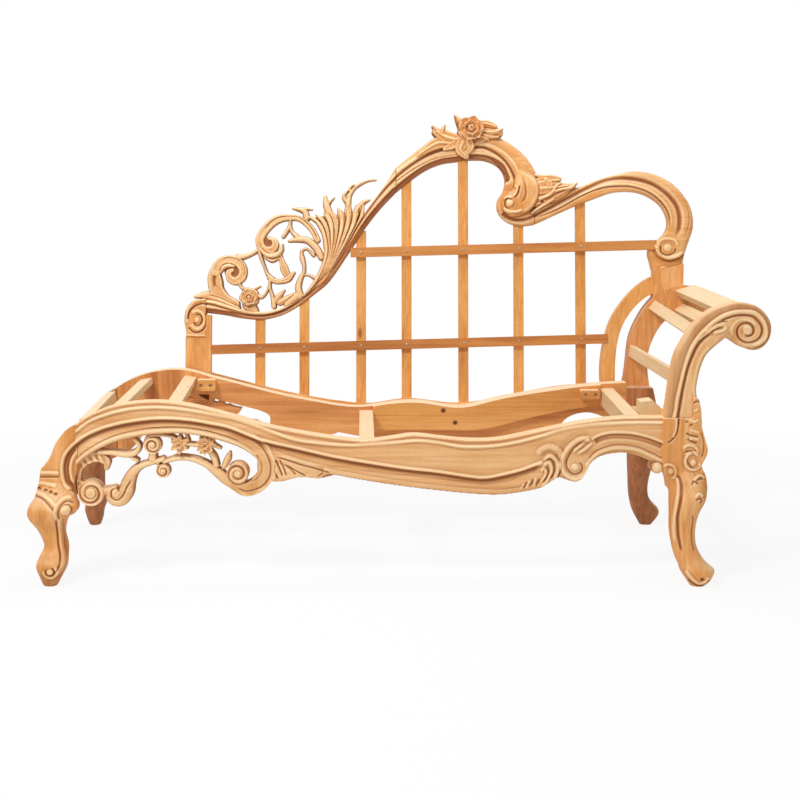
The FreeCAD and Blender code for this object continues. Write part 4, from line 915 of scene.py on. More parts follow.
def petal_mesh(length, half, cup, curl, thick=2.4):
    """One petal pointing along X, hollowed towards its middle and curled up at its tip."""
    rows, cols = 9, 5
    t, v = np.meshgrid(np.linspace(0, 1, rows), np.linspace(-1, 1, cols), indexing="ij")
    wide = half * (0.12 + np.sin(math.pi * np.clip(t, 0, 1) ** 0.85) ** 0.7)
    top = np.stack([length * t, wide * v, cup * v * v + curl * t ** 2 + thick / 2], -1).reshape(-1, 3)
    verts = np.concatenate([top, top - (0, 0, thick)]) / 1000
    grid = np.arange(rows * cols).reshape(rows, cols)
    a, b, c, d = (part.ravel() for part in (grid[:-1, :-1], grid[1:, :-1], grid[1:, 1:], grid[:-1, 1:]))
    faces = np.stack([a, b, c, d], -1).tolist()
    faces += (np.stack([d, c, b, a], -1) + rows * cols).tolist()
    rim = np.concatenate([grid[0, :], grid[1:, -1], grid[-1, -2::-1], grid[-2:0:-1, 0]])
    faces += [[p, q, q + rows * cols, p + rows * cols] for p, q in zip(rim.tolist(), np.roll(rim, -1).tolist())]
    mesh = plain_mesh("petal", verts, faces)
    # Painted shade towards the petal's base, and painted highlight at its tip and edges
    set_hollow(mesh, np.tile((0.5 * (1 - t) ** 2 - 0.3 * t - 0.4 * fade(np.abs(v), 0.5, 1)).ravel(), 2))
    return mesh


def new_tree(name, sizes):
    """Geometry tree with a mesh in, named sizes, and its end in place."""
    tree = bpy.data.node_groups.new(name, "GeometryNodeTree")
    tree.interface.new_socket("Geometry", in_out="INPUT", socket_type="NodeSocketGeometry")
    for label, kind in sizes:
        tree.interface.new_socket(label, in_out="INPUT", socket_type=kind)
    tree.interface.new_socket("Geometry", in_out="OUTPUT", socket_type="NodeSocketGeometry")
    given = node(tree, "NodeGroupInput").outputs
    real = node(tree, "GeometryNodeRealizeInstances")
    finished = node(tree, "GeometryNodeSetMaterial", Geometry=real.outputs[0],
                    Material=given["Finish"]).outputs[0]
    node(tree, "NodeGroupOutput", Geometry=finished)
    return tree, given, real


def ring_tree():
    """Sets copies of a petal round a ring, each tilted up from it."""
    tree, given, real = new_tree("ring_of_petals", (("Petals", "NodeSocketInt"),
                                                    ("Ring radius", "NodeSocketFloat"),
                                                    ("Tilt", "NodeSocketFloat"), ("Turn", "NodeSocketFloat"),
                                                    ("Finish", "NodeSocketMaterial")))
    ring = node(tree, "GeometryNodeMeshCircle", Vertices=given["Petals"],
                Radius=given["Ring radius"]).outputs[0]
    outward = node(tree, "GeometryNodeInputPosition").outputs[0]
    facing = node(tree, "FunctionNodeAlignRotationToVector", {"axis": "X"}, Vector=outward).outputs[0]
    lift = node(tree, "ShaderNodeCombineXYZ", Y=given["Tilt"]).outputs[0]
    tilted = node(tree, "FunctionNodeRotateRotation", {"rotation_space": "LOCAL"}, Rotation=facing,
                  Rotate_By=node(tree, "FunctionNodeEulerToRotation", Euler=lift).outputs[0]).outputs[0]
    set_round = node(tree, "GeometryNodeInstanceOnPoints", Points=ring, Instance=given["Geometry"],
                     Rotation=tilted).outputs[0]
    spin = node(tree, "ShaderNodeCombineXYZ", Z=given["Turn"]).outputs[0]
    turned = node(tree, "GeometryNodeTransform", Geometry=set_round, Rotation=spin).outputs[0]
    tree.links.new(turned, real.inputs[0])
    return tree


def heads_tree():
    """Sets a domed head on every spot, facing out of the back."""
    tree, given, real = new_tree("heads_on_spots", (("Head radius", "NodeSocketFloat"),
                                                    ("Rise", "NodeSocketFloat"),
                                                    ("Lean", "NodeSocketFloat"),
                                                    ("Finish", "NodeSocketMaterial")))
    spots = node(tree, "GeometryNodeMeshToPoints", Mesh=given["Geometry"]).outputs[0]
    dome = node(tree, "GeometryNodeMeshUVSphere", Segments=16, Rings=8, Radius=1.0).outputs[0]
    size = node(tree, "ShaderNodeCombineXYZ", X=given["Head radius"], Y=given["Rise"],
                Z=given["Head radius"]).outputs[0]
    turn = node(tree, "ShaderNodeCombineXYZ", X=given["Lean"]).outputs[0]
    heads = node(tree, "GeometryNodeInstanceOnPoints", Points=spots, Instance=dome, Rotation=turn,
                 Scale=size).outputs[0]
    tree.links.new(heads, real.inputs[0])
    return tree


def grow(tree, mesh, sizes):
    """Runs a tree on a mesh and returns the plain mesh it makes."""
    seed = put("seed", mesh)
    modifier = seed.modifiers.new("grown", "NODES")
    modifier.node_group = tree
    for socket in tree.interface.items_tree:
        if socket.in_out == "INPUT" and socket.name in sizes:
            modifier[socket.identifier] = sizes[socket.name]
    return settled(seed)


def flower(name, plane, x, s, depth, rings, material):
    """Flower of rings (petals, ring radius, petal length, half width, cup, curl, tilt, turn, height)."""
    tree = ring_tree()
    places, faces, tones, start = [], [], [], 0
    for petals, radius, length, half, cup, curl, tilt, turn, high in rings:
        ring = grow(tree, petal_mesh(length, half, cup, curl),
                    {"Petals": petals, "Ring radius": radius / 1000, "Tilt": math.radians(-tilt),
                     "Turn": math.radians(turn), "Finish": material})
        place = read(ring.vertices, "co") * 1000
        places.append(to_world(plane, x + place[:, 0], depth - high - place[:, 2], s + place[:, 1]))
        faces += [[k + start for k in face.vertices] for face in ring.polygons]
        tones.append(read(ring.attributes["hollow"].data, "value", 1).ravel())
        start += len(place)
        bpy.data.meshes.remove(ring)
    bpy.data.node_groups.remove(tree)
    new_piece(name, np.concatenate(places), faces, material, [], np.concatenate(tones))


def grow_flowers():
    petals = bpy.context.scene.chaise_carving.rose_petals
    pale, worn = wood("carved_beech", "level"), wood("worn_beech", "level")
    star_ring = [(6, 3, 20, 5.5, 2.2, 3, 8, 30, 0), (6, 2, 10, 3.5, 2, 3, 30, 0, 3)]
    flower("left_star_petals", "front", *left_star, carving_set - 3, star_ring, pale)
    flower("right_star_petals", "front", *right_star, carving_set - 3, star_ring, pale)
    flower("ring_rose_petals", "back", *ring_rose, carving_set - 7,
           [(7, 7, 17, 9, 3, 3, 10, 0, 0), (5, 4, 12, 7, 3, 4, 35, 20, 3), (4, 1, 8, 4.5, 2, 3, 60, 0, 5)],
           pale)
    flower("crest_rose_petals", "back", *crest_rose, -14,
           [(petals, 10, 27, 14, 5, 5, 8, 12, 0), (petals, 7, 21, 11, 5, 6, 28, 40, 4),
            (petals - 1, 3, 14, 8, 4, 5, 52, 0, 7), (3, 1, 9, 5, 3, 3, 72, 30, 9)], worn)


# Legs

def loft(sections):
    """Closed shaft through rounded square sections (height, x, y, half widths)."""
    count, power = 40, 2.2
    turn = np.linspace(0, 2 * math.pi, count, endpoint=False)
    c, s = np.cos(turn), np.sin(turn)
    rows = smooth(sections, 8)
    verts = np.concatenate([np.stack([x + half_x * np.sign(c) * np.abs(c) ** (2 / power),
                                      y + half_y * np.sign(s) * np.abs(s) ** (2 / power),
                                      np.full(count, float(z))], -1) for z, x, y, half_x, half_y in rows])
    faces = []
    for r in range(len(rows) - 1):
        for k in range(count):
            a, b = r * count + k, r * count + (k + 1) % count
            faces.append((a, b, b + count, a + count))
    faces.append(tuple(range(count))[::-1])
    faces.append(tuple(range((len(rows) - 1) * count, len(rows) * count)))
    return verts, faces


def prism(runs, front, thick):
    """Plain block cut to an outline."""
    loop = joined(runs)
    count = len(loop)
    verts = np.concatenate([np.column_stack([loop[:, 0], np.full(count, y), loop[:, 1]])
                            for y in (front, front + thick)])
    area = np.sum(loop[:, 0] * np.roll(loop[:, 1], -1) - np.roll(loop[:, 0], -1) * loop[:, 1])
    faces = [tuple(range(count)), tuple(range(count, 2 * count))[::-1]]
    for k in range(count):
        j = (k + 1) % count
        faces.append((k, k + count, j + count, j))
    if area < 0:
        faces = [f[::-1] for f in faces]
    return verts, faces


def sculpt(name, solids, voxel, material, nodes, sheet=None):
    """Grows solids into one form, smooths it, and presses a sheet's relief into its front."""
    verts, faces, start = [], [], 0
    for v, f in solids:
        verts.append(to_world("front", *v.T))
        faces += [tuple(k + start for k in face) for face in f]
        start += len(v)
    form = put(name + "_form", plain_mesh(name + "_form", np.concatenate(verts), faces))
    grown = form.modifiers.new("grown", "REMESH")
    grown.mode = "VOXEL"
    grown.voxel_size = voxel / 1000
    eased = form.modifiers.new("eased", "SMOOTH")
    eased.factor = 0.5
    eased.iterations = 9
    done = settled(form)
    done.name = name
    place, normal = read(done.vertices, "co"), read(done.vertices, "normal")
    tone = np.zeros(len(place))
    if sheet:
        x, z = (place[:, 0] - shift_x) * 1000, (place[:, 2]) * 1000
        on = (x > sheet.xs[0]) & (x < sheet.xs[-1]) & (z > sheet.zs[0]) & (z < sheet.zs[-1])
        facing = fade(-normal[:, 1], 0.05, 0.5) * on
        place[:, 1] -= facing * sheet.sample(sheet.height, x, z) / 1000
        tone += facing * sheet.sample(sheet.hollows(), x, z)
    place[:, 1] = np.maximum(place[:, 1], cad_box[0].y)
    place[:, 2] = np.maximum(place[:, 2], 0)
    done.vertices.foreach_set("co", place.ravel())
    set_hollow(done, tone)
    done.update()
    add_piece(name, done, material, nodes, 60)


def disc_solid(x, z, radius, front, thick):
    loop = [(x + radius * math.cos(t), z + radius * math.sin(t)) for t in np.linspace(0, 2 * math.pi, 33)[:-1]]
    return prism([[p, q] for p, q in zip(loop, loop[1:] + loop[:1])], front, thick)


def carve_front_left_leg():
    block = prism([[(left_joint, 394), (-812, 379), (-835, 350), (-849, 317), (-861, 299), (-873, 284),
                    (-878, 255), (-889, 215)], [(-889, 215), (-790, 215)],
                   [(-790, 215), (-792, 250), (left_joint + 5, 290)],
                   [(left_joint + 5, 290), (left_joint + 5, 394)], [(left_joint + 5, 394), (left_joint, 394)]],
                   -4, 49)
    shaft = loft([(0, -852, -10, 17, 18), (22, -850, -12, 27, 28), (48, -848, -10, 38, 36),
                  (72, -843, -4, 35, 31), (98, -838, 2, 30, 27), (133, -849, 4, 34, 30),
                  (167, -856, 0, 50, 40), (192, -844, -1, 60, 42), (222, -838, 12, 49, 34),
                  (252, -836, 22, 44, 26), (282, -832, 30, 34, 16)])
    sheet = Sheet(-912, -776, 0, 402, 1.5)
    sheet.inside[:] = 10
    sheet.height -= 4 * fade(sheet.x, left_joint - 50, left_joint - 8) * fade(sheet.z, 215, 250)
    sheet.band(main_bead[:10], -17, -3.5, -4.5, 4)
    sheet.ridge(main_bead[:10], 5.2, 3.8, 0.02)
    sheet.ridge([(-740, 358), (-765, 344), (-784, 328), (-797, 306), (-801, 280), (-797, 258), (-788, 241)],
                5, 3, 0.05)
    sheet.ridge([(-890, 277), (-847, 277), (-826, 275)], 5.5, 3.6, 0.1)
    sheet.groove([(-890, 266), (-847, 266), (-828, 266)], 3, 3.4, 0.08)
    sheet.ridge([(-892, 253), (-860, 250), (-832, 245)], 6, 3.4, 0.08)
    for x, z in ((-893, 240), (-877, 238), (-860, 234), (-846, 230), (-834, 226)):
        sheet.dent(x, z, 6, 5, 5.5)
    sheet.ridge([(-896, 230), (-870, 226), (-848, 216), (-828, 200)], 5, 3.8, 0.08)
    sheet.groove([(-900, 219), (-870, 217), (-851, 206), (-833, 189)], 3.2, 4.2, 0.08)
    sheet.ridge([(-827, 160), (-832, 182), (-826, 206), (-808, 219), (-794, 217)], 4.5, 3.2, 0.1)
    sheet.groove([(-822, 163), (-824, 184), (-817, 203), (-803, 210), (-788, 203)], 2.8, 3.4, 0.1)
    sheet.ball(-807, 190, 12, 5)
    sheet.groove([(-819, 190), (-813, 202), (-801, 202), (-794, 191), (-800, 179)], 2.4, 2.6, 0.1)
    inner = [(-827, 176), (-831, 154), (-829, 106), (-823, 74), (-826, 49), (-842, 27)]
    sheet.ridge([(x + 7, z) for x, z in inner], 6, 3.0, 0.1)
    sheet.groove(inner, 3.6, 3.0, 0.1)
    # Painted shade on the lower right of the leg
    sheet.painted_shade += 0.35 * fade(sheet.x, -842, -812) * (1 - fade(sheet.z, 120, 200))
    ankle = (-846, 41)
    sheet.ball(*ankle, 8, 4.5)
    sheet.groove(arc(*ankle, 10.5, 80, -220), 3, 3.6, 0.12)
    sheet.ridge(arc(*ankle, 16, 50, -200), 4.4, 3.2, 0.12)
    # Darker towards the bottom of the leg
    sheet.painted_shade += 0.3 * (1 - fade(sheet.z, 15, 60))
    sculpt("front_left_leg_carving", [block, shaft, disc_solid(-804, 192, 20, -8, 38)], 1.9,
           wood("worn_beech", "upright"), ["front_left_leg"], sheet)


def carve_front_right_leg():
    block = prism([[(right_joint, 412), (731, 412)],
                   [(731, 412), (736, 395), (747, 356), (753, 328), (738, 293)],
                   [(738, 293), (750, 268), (755, 235)], [(755, 235), (660, 235)],
                   [(660, 235), (655, 262), (643, 290)], [(643, 290), (643, 412)],
                   [(643, 412), (right_joint, 412)]], -6, 51)
    shaft = loft([(0, 731, -12, 17, 18), (15, 734, -13, 30, 27), (38, 731, -10, 42, 33),
                  (52, 722, -7, 37, 32), (70, 710, -3, 33, 30), (100, 699, 0, 30, 28),
                  (138, 695, 2, 32, 30), (175, 698, 0, 36, 33), (212, 706, 0, 45, 38), (245, 708, 8, 46, 32),
                  (278, 706, 16, 40, 24), (310, 702, 24, 30, 16)])
    tip = prism([[(716, 396), (716, 425), (714, 450), (718, 462), (728, 458), (734, 430), (737, 396)],
                 [(737, 396), (716, 396)]], -9, 14)
    sheet = Sheet(640, 790, 0, 470, 1.5)
    sheet.inside[:] = 10
    # Painted shade down the right side of the leg, from the foot to the knee
    sheet.painted_shade += 0.3 * fade(sheet.x, 716, 752) * fade(sheet.z, 20, 200) * (1 - fade(sheet.z, 260, 300))
    sheet.band([(701, 452), (700, 434), (698, 416), (695, 400), (695, 379), (688, 341), (699, 318)],
               0, 60, 1.5, 6)
    for line, half, deep in (
            ([(703, 426), (710, 413)], 3.6, 4), ([(696, 403), (703, 403)], 3.2, 3.4),
            ([(706, 392), (714, 397)], 3.2, 3.6),
            ([(698, 376), (708, 370), (716, 368), (729, 365)], 3.4, 4.2),
            ([(702, 362), (715, 353), (726, 351)], 3.2, 3.8), ([(694, 327), (709, 331), (719, 323)], 3, 3.6),
            ([(714, 447), (721, 453), (731, 452)], 3.2, 4),
            ([(735, 379), (741, 357), (742, 335), (738, 314)], 3, 2.6),
            ([(711, 249), (719, 258), (728, 250)], 3.2, 3.8), ([(725, 259), (732, 262), (742, 262)], 3, 3.6),
            ([(719, 214), (727, 219), (734, 214), (730, 207)], 3, 3.6),
            ([(709, 292), (722, 288), (733, 296)], 3, 4),
            ([(678, 274), (686, 259), (687, 237), (683, 212), (678, 176), (679, 152), (681, 128),
              (685, 104), (690, 84)], 5, 4.2),
            ([(712, 180), (715, 160), (713, 135), (716, 105), (722, 84)], 3.4, 2.6),
            ([(654, 350), (666, 359), (676, 377), (680, 399), (681, 416)], 3.4, 4.0),
            ([(704, 20), (717, 10), (733, 4), (748, 10), (756, 21)], 3.8, 3.4)):
        sheet.groove(line, half, deep, 0.08)
    for line, half, rise in (
            ([(691, 336), (700, 344), (712, 345), (724, 338), (730, 326)], 4, 4.2),
            ([(706, 384), (718, 380), (732, 376)], 4, 3), ([(704, 408), (716, 404), (728, 408)], 4, 2.8),
            ([(706, 434), (716, 430), (727, 436)], 3.6, 2.8),
            ([(704, 359), (716, 362), (730, 358)], 3.6, 2.8),
            ([(732, 314), (722, 326), (707, 325), (699, 314), (698, 302), (704, 290), (717, 285),
              (731, 293), (734, 305)], 4.6, 4.6), ([(717, 258), (726, 268), (736, 271), (747, 264)], 4, 3.8),
            ([(717, 222), (728, 230), (739, 223)], 3.8, 3.6), ([(668, 362), (674, 384), (674, 412)], 4.4, 3),
            ([(676, 268), (679, 254), (677, 232), (672, 200), (669, 150), (674, 100)], 4.6, 2.6),
            ([(696, 46), (705, 32), (717, 19), (729, 11), (741, 12), (750, 20), (747, 29)], 4.6, 3.8),
            ([(644, 290), (654, 298), (668, 294), (675, 281), (672, 267), (664, 263)], 4, 3)):
        sheet.ridge(line, half, rise, 0.1)
    sheet.ball(717, 303, 8, 4.6)
    sheet.ball(663, 281, 8, 3.6)
    sheet.dent(737, 21, 6, 6, 5)
    sculpt("front_right_leg_carving", [block, shaft, tip, disc_solid(663, 282, 15, -7, 30)], 1.9,
           wood("worn_beech", "upright"), ["front_right_leg"], sheet)


def shape_rear_left_leg():
    mid = rear_face + rail_thick / 2
    block = prism([[(rear_left_joint, 414), (-810, 390), (-838, 352), (-855, 310), (-872, 288), (-880, 240)],
                   [(-880, 240), (-850, 205)], [(-850, 205), (-812, 205)],
                   [(-812, 205), (-798, 207), (rear_left_joint, 220)],
                   [(rear_left_joint, 220), (rear_left_joint, 414)]], rear_face, rail_thick)
    shaft = loft([(0, -859, mid + 88, 16, 20), (24, -859, mid + 86, 24, 28), (48, -858, mid + 78, 28, 30),
                  (75, -850, mid + 66, 30, 28), (115, -848, mid + 44, 28, 27), (160, -850, mid + 18, 34, 30),
                  (200, -848, mid + 4, 38, 30), (262, -838, mid, 38, 21)])
    sculpt("rear_left_leg_form", [block, shaft], 2.4, wood("red_beech", "upright"),
           ["rear_left_leg"])


# Arm

arm_outer = [
    (right_joint, 412), (655, 443), (661, 492), (672, 556), (688, 592), (714, 634), (742, 663), (776, 682),
    (809, 691), (836, 691), (863, 685), (885, 668), (899, 646), (902, 624), (896, 601), (880, 583), (857, 577),
    (829, 585)]
arm_inner = [(793, 609), (760, 581), (743, 561), (730, 525), (723, 479), (729, 445), (731, 412)]
arm_bead = [
    (667, 400), (674, 429), (677, 456), (684, 490), (693, 530), (705, 572), (723, 606), (746, 632), (773, 654),
    (801, 667), (828, 671), (856, 669), (873, 658), (884, 643), (889, 626), (887, 608), (874, 595), (855, 588)]
arm_groove = [(681, 400), (681, 420), (685, 447), (691, 487), (700, 529), (709, 556), (721, 583), (735, 602),
              (750, 614), (766, 620)]
arm_spiral = [
    (775, 647), (793, 654), (812, 660), (833, 662), (854, 659), (868, 649), (877, 636), (879, 621), (873, 607),
    (858, 597), (840, 596), (826, 604), (819, 617), (820, 630), (829, 640), (842, 643), (853, 638), (859, 627),
    (856, 616), (846, 611), (836, 614)]


def carve_arm_front():
    sheet = Sheet(640, 912, 408, 700, 1.6)
    sheet.outline(loop_of(arm_outer, arm_inner))
    sheet.band(arm_bead, 4, 40, -1.6, 5)
    sheet.ridge(arm_bead, 5.6, 3.6, 0.03)
    sheet.groove(arm_groove, 6, 5.5, 0.05)
    far, side, _ = sheet.from_line(arm_bead, 40)
    # Painted shade on the sunk band beside the bead
    sheet.painted_shade += 0.22 * fade(far * side, 3, 8)
    sheet.groove(arm_spiral, 4, 5, 0.04)
    sheet.ball(843, 627, 12, 4.5)
    sheet.ridge([(808, 610), (806, 630), (816, 646), (834, 652), (853, 648), (866, 635)], 5, 2.5, 0.1)
    for line, half, rise in (
            ([(738, 619), (760, 632), (776, 639), (793, 641)], 4.6, 3.6),
            ([(746, 612), (763, 619), (782, 624), (791, 630), (788, 637)], 4.2, 3.8),
            ([(723, 600), (741, 614), (754, 624), (770, 634)], 3.6, 2.6)):
        sheet.ridge(line, half, rise, 0.15)
    sheet.groove([(770, 643), (784, 647), (798, 646)], 2.6, 3.4, 0.15)
    sheet.groove([(752, 622), (770, 629), (784, 632)], 2.4, 3.2, 0.15)
    sheet.ridge([(x - 7, z + 5) for x, z in arm_inner[1:]], 5, 2.2, 0.05)
    sheet.round_edge([arm_outer, arm_inner], 5, 3)
    board_piece("arm_front_carving", "arm_front_scroll", sheet, "front", 0, rail_thick,
                "carved_beech", "upright", 0.9)


# Crest of the back, as x and distance up its slope

crest_joint_left, crest_joint_right = 8, 400
crest_lower_left = [(-530, 238), (-476, 231), (-434, 223), (-383, 218), (-349, 222), (-310, 234), (-267, 258),
                    (-222, 292), (-179, 330), (-123, 412), (-80, 478), (-38, 532), (crest_joint_left, 581)]
crest_upper_left = [
    (-530, 276), (-500, 272), (-462, 259), (-420, 246), (-377, 241), (-335, 246), (-286, 266), (-236, 302),
    (-200, 338), (-165, 381), (-123, 449), (-94, 501), (-66, 543), (-30, 592), (crest_joint_left, 650)]
crest_lower_mid = [
    (crest_joint_left, 581), (49, 614), (93, 644), (136, 662), (180, 669), (224, 674), (266, 671), (302, 652),
    (318, 620), (314, 587), (298, 560), (296, 532), (310, 508), (334, 492), (365, 485),
    (crest_joint_right, 489)]
crest_outer_mid = [
    (crest_joint_left, 650), (48, 684), (90, 716), (133, 737), (180, 748), (230, 749), (275, 744), (318, 728),
    (366, 693), (394, 657), (411, 623), (418, 590), (413, 555), (crest_joint_right, 532)]
arch_outer = [
    (crest_joint_right, 526), (430, 543), (473, 569), (530, 597), (587, 618), (644, 634), (678, 640),
    (715, 638), (745, 630), (776, 616), (804, 595), (826, 569), (843, 540), (851, 505), (850, 476), (842, 450),
    (830, 415), (822, 378)]
arch_inner = [
    (737, 356), (731, 380), (725, 410), (734, 436), (755, 448), (772, 465), (781, 487), (779, 510), (766, 538),
    (746, 558), (716, 575), (686, 583), (650, 584), (617, 579), (573, 563), (530, 547), (473, 522), (430, 502),
    (crest_joint_right, 489)]
tack_strip = 13
tack_set = 8


def tack_rabbet(sheet, inner):
    """Sunk strip along the inner edge, where upholstery tacks would go, browned with painted shade."""
    sunk = 1 - fade(sheet.from_line(inner, tack_strip + 6)[0], tack_strip - 2.5, tack_strip + 2.5)
    sheet.height -= tack_set * sunk
    sheet.painted_shade += 0.5 * sunk


def carve_crest_left():
    sheet = Sheet(-534, 12, 212, 656, 1.6)
    sheet.outline(loop_of(crest_lower_left, crest_upper_left[::-1]))
    groove = [(-540, 262), (-524, 262), (-507, 259), (-483, 252), (-457, 244), (-420, 234), (-380, 230),
              (-340, 234), (-300, 249), (-255, 281), (-210, 322), (-172, 364), (-130, 432), (-98, 488),
              (-62, 538), (-28, 582), (8, 620), (30, 640)]
    sheet.groove(groove, 5.5, 5.5, 0.0)
    sheet.ridge([(x - 4, z + 9) for x, z in groove], 6, 3, 0.0)
    tack_rabbet(sheet, crest_lower_left)
    sheet.round_edge([crest_upper_left], 14, 8)
    sheet.round_edge([crest_lower_left], 4, 2.5)
    board_piece("crest_left_carving", "crest_left", sheet, "back", 0, back_thick, "worn_beech", "falling", 0.8)


def carve_crest_center():
    sheet = Sheet(4, 422, 478, 754, 1.6)
    sheet.outline(loop_of(crest_outer_mid, crest_lower_mid[::-1]))
    sheet.groove([(-20, 600), (8, 622), (50, 655), (100, 686), (150, 702), (200, 707), (240, 707), (262, 705),
                  (292, 690), (318, 668), (336, 640), (350, 606)], 6, 6, 0.0)
    sheet.ridge([(0, 632), (50, 668), (100, 698), (150, 714), (200, 718), (262, 716), (300, 700), (330, 676),
                 (350, 646), (362, 612)], 6, 3, 0.02)
    sheet.groove([(0, 604), (20, 619), (50, 640), (80, 658), (110, 672), (140, 680), (180, 686), (220, 687),
                  (250, 684), (276, 675), (300, 656), (318, 630), (326, 605)], 3, 3.6, 0.02)
    tack_rabbet(sheet, crest_lower_mid[:9])
    sheet.groove([(308, 522), (320, 510), (336, 503), (357, 500), (381, 504), (403, 514), (430, 527)],
                 8, 6.5, 0.05)
    sheet.round_edge([crest_outer_mid], 24, 10)
    sheet.round_edge([crest_lower_mid], 4, 2.5)
    board_piece("crest_center_carving", "crest_center", sheet, "back", 0, back_thick,
                "worn_beech", "level", 0.8)


def carve_crest_arch():
    sheet = Sheet(396, 856, 350, 646, 1.6)
    sheet.outline(loop_of(arch_outer, arch_inner))
    cove = [(310, 476), (345, 490), (380, 504), (425, 524), (473, 551), (515, 573), (558, 594), (596, 610),
            (634, 618), (672, 618), (710, 611), (735, 602), (760, 587), (781, 569), (798, 548), (807, 529),
            (811, 506), (810, 481), (803, 460), (794, 446)]
    sheet.groove(cove, 9, 6.5, 0.12)
    thin = [(402, 505), (425, 514), (473, 535), (515, 559), (558, 580), (596, 592), (634, 596), (672, 595),
            (707, 586), (732, 574), (755, 556), (772, 535), (782, 512), (784, 488), (777, 463)]
    sheet.ridge([(x + 2, z + 6) for x, z in thin], 4, 2.4, 0.08)
    sheet.groove(thin, 3, 3.6, 0.08)
    sheet.band(cove, 9, 60, 1.5, 8, 0.2)
    sheet.groove([(826, 560), (836, 530), (838, 500), (832, 470), (820, 440)], 3, 1.6, 0.2)
    # Volute and cup at the lower end
    sheet.band([(742, 420), (752, 402), (778, 388), (806, 394), (828, 410)], -60, 0, -7, 5)
    sheet.ridge([(744, 428), (748, 408), (762, 396), (779, 392), (802, 398), (824, 412)], 6, 3.6, 0.06)
    sheet.ridge([(748, 424), (756, 441), (777, 448), (798, 441), (806, 424)], 5, 3, 0.1)
    sheet.groove([(757, 431), (759, 409), (775, 401), (795, 408), (800, 424)], 3.4, 4, 0.1)
    sheet.ball(777, 421, 12, 4.5)
    sheet.band([(725, 352), (756, 358), (764, 366), (784, 364), (804, 370), (826, 379)], -12, 3, 2.5, 4)
    sheet.round_edge([arch_outer], 18, 9)
    sheet.round_edge([arch_inner], 4, 2.5)
    board_piece("crest_arch_carving", "crest_right_arch", sheet, "back", 0, back_thick,
                "worn_beech", "level", 0.8)


def carve_left_block():
    """Carved block on the left post, with a volute that the crest's edge runs out of."""
    right, left, shoulder, proud = -530, -585, 169, 4
    sheet = Sheet(left - 8, right + 3, shoulder - 2, 284, 1.0)
    sheet.outline([[(right, shoulder), (left, shoulder)], [(left, shoulder), (left, 186)],
                   [(left, 186), (left - 5, 215), (left - 1, 245), (-566, 272), (right, 278)],
                   [(right, 278), (right, shoulder)]])
    sheet.ridge([(-584, 205), (-583, 235), (-577, 252), (-566, 265), (-551, 273), (-534, 275), (-517, 274)],
                5.5, 3, 0.04)
    sheet.groove([(-581, 217), (-577, 238), (-568, 250), (-556, 258), (-541, 263), (-524, 261)], 4, 5, 0.03)
    sheet.groove([(-579, 197), (-566, 184), (-551, 182), (-537, 190), (-529, 206), (-527, 224), (-531, 237)],
                 3.2, 5, 0.03)
    sheet.ridge([(-570, 236), (-553, 243), (-539, 235), (-533, 220), (-536, 204), (-548, 192), (-562, 194),
                 (-571, 205)], 5, 3.4, 0.04)
    sheet.groove([(-565, 211), (-554, 201), (-544, 207), (-540, 220), (-546, 231), (-558, 232)], 3, 4.4, 0.06)
    sheet.ball(-555, 217, 8, 3.4)
    sheet.ridge([(-586, 175), (-560, 173), (-530, 172)], 3.6, 2.2, 0.0)
    sheet.ease(4, 2.5)
    board_piece("left_post_volute_carving", "crest_left_volute", sheet, "back", -proud, back_thick,
                "worn_beech", "upright", 0.7)


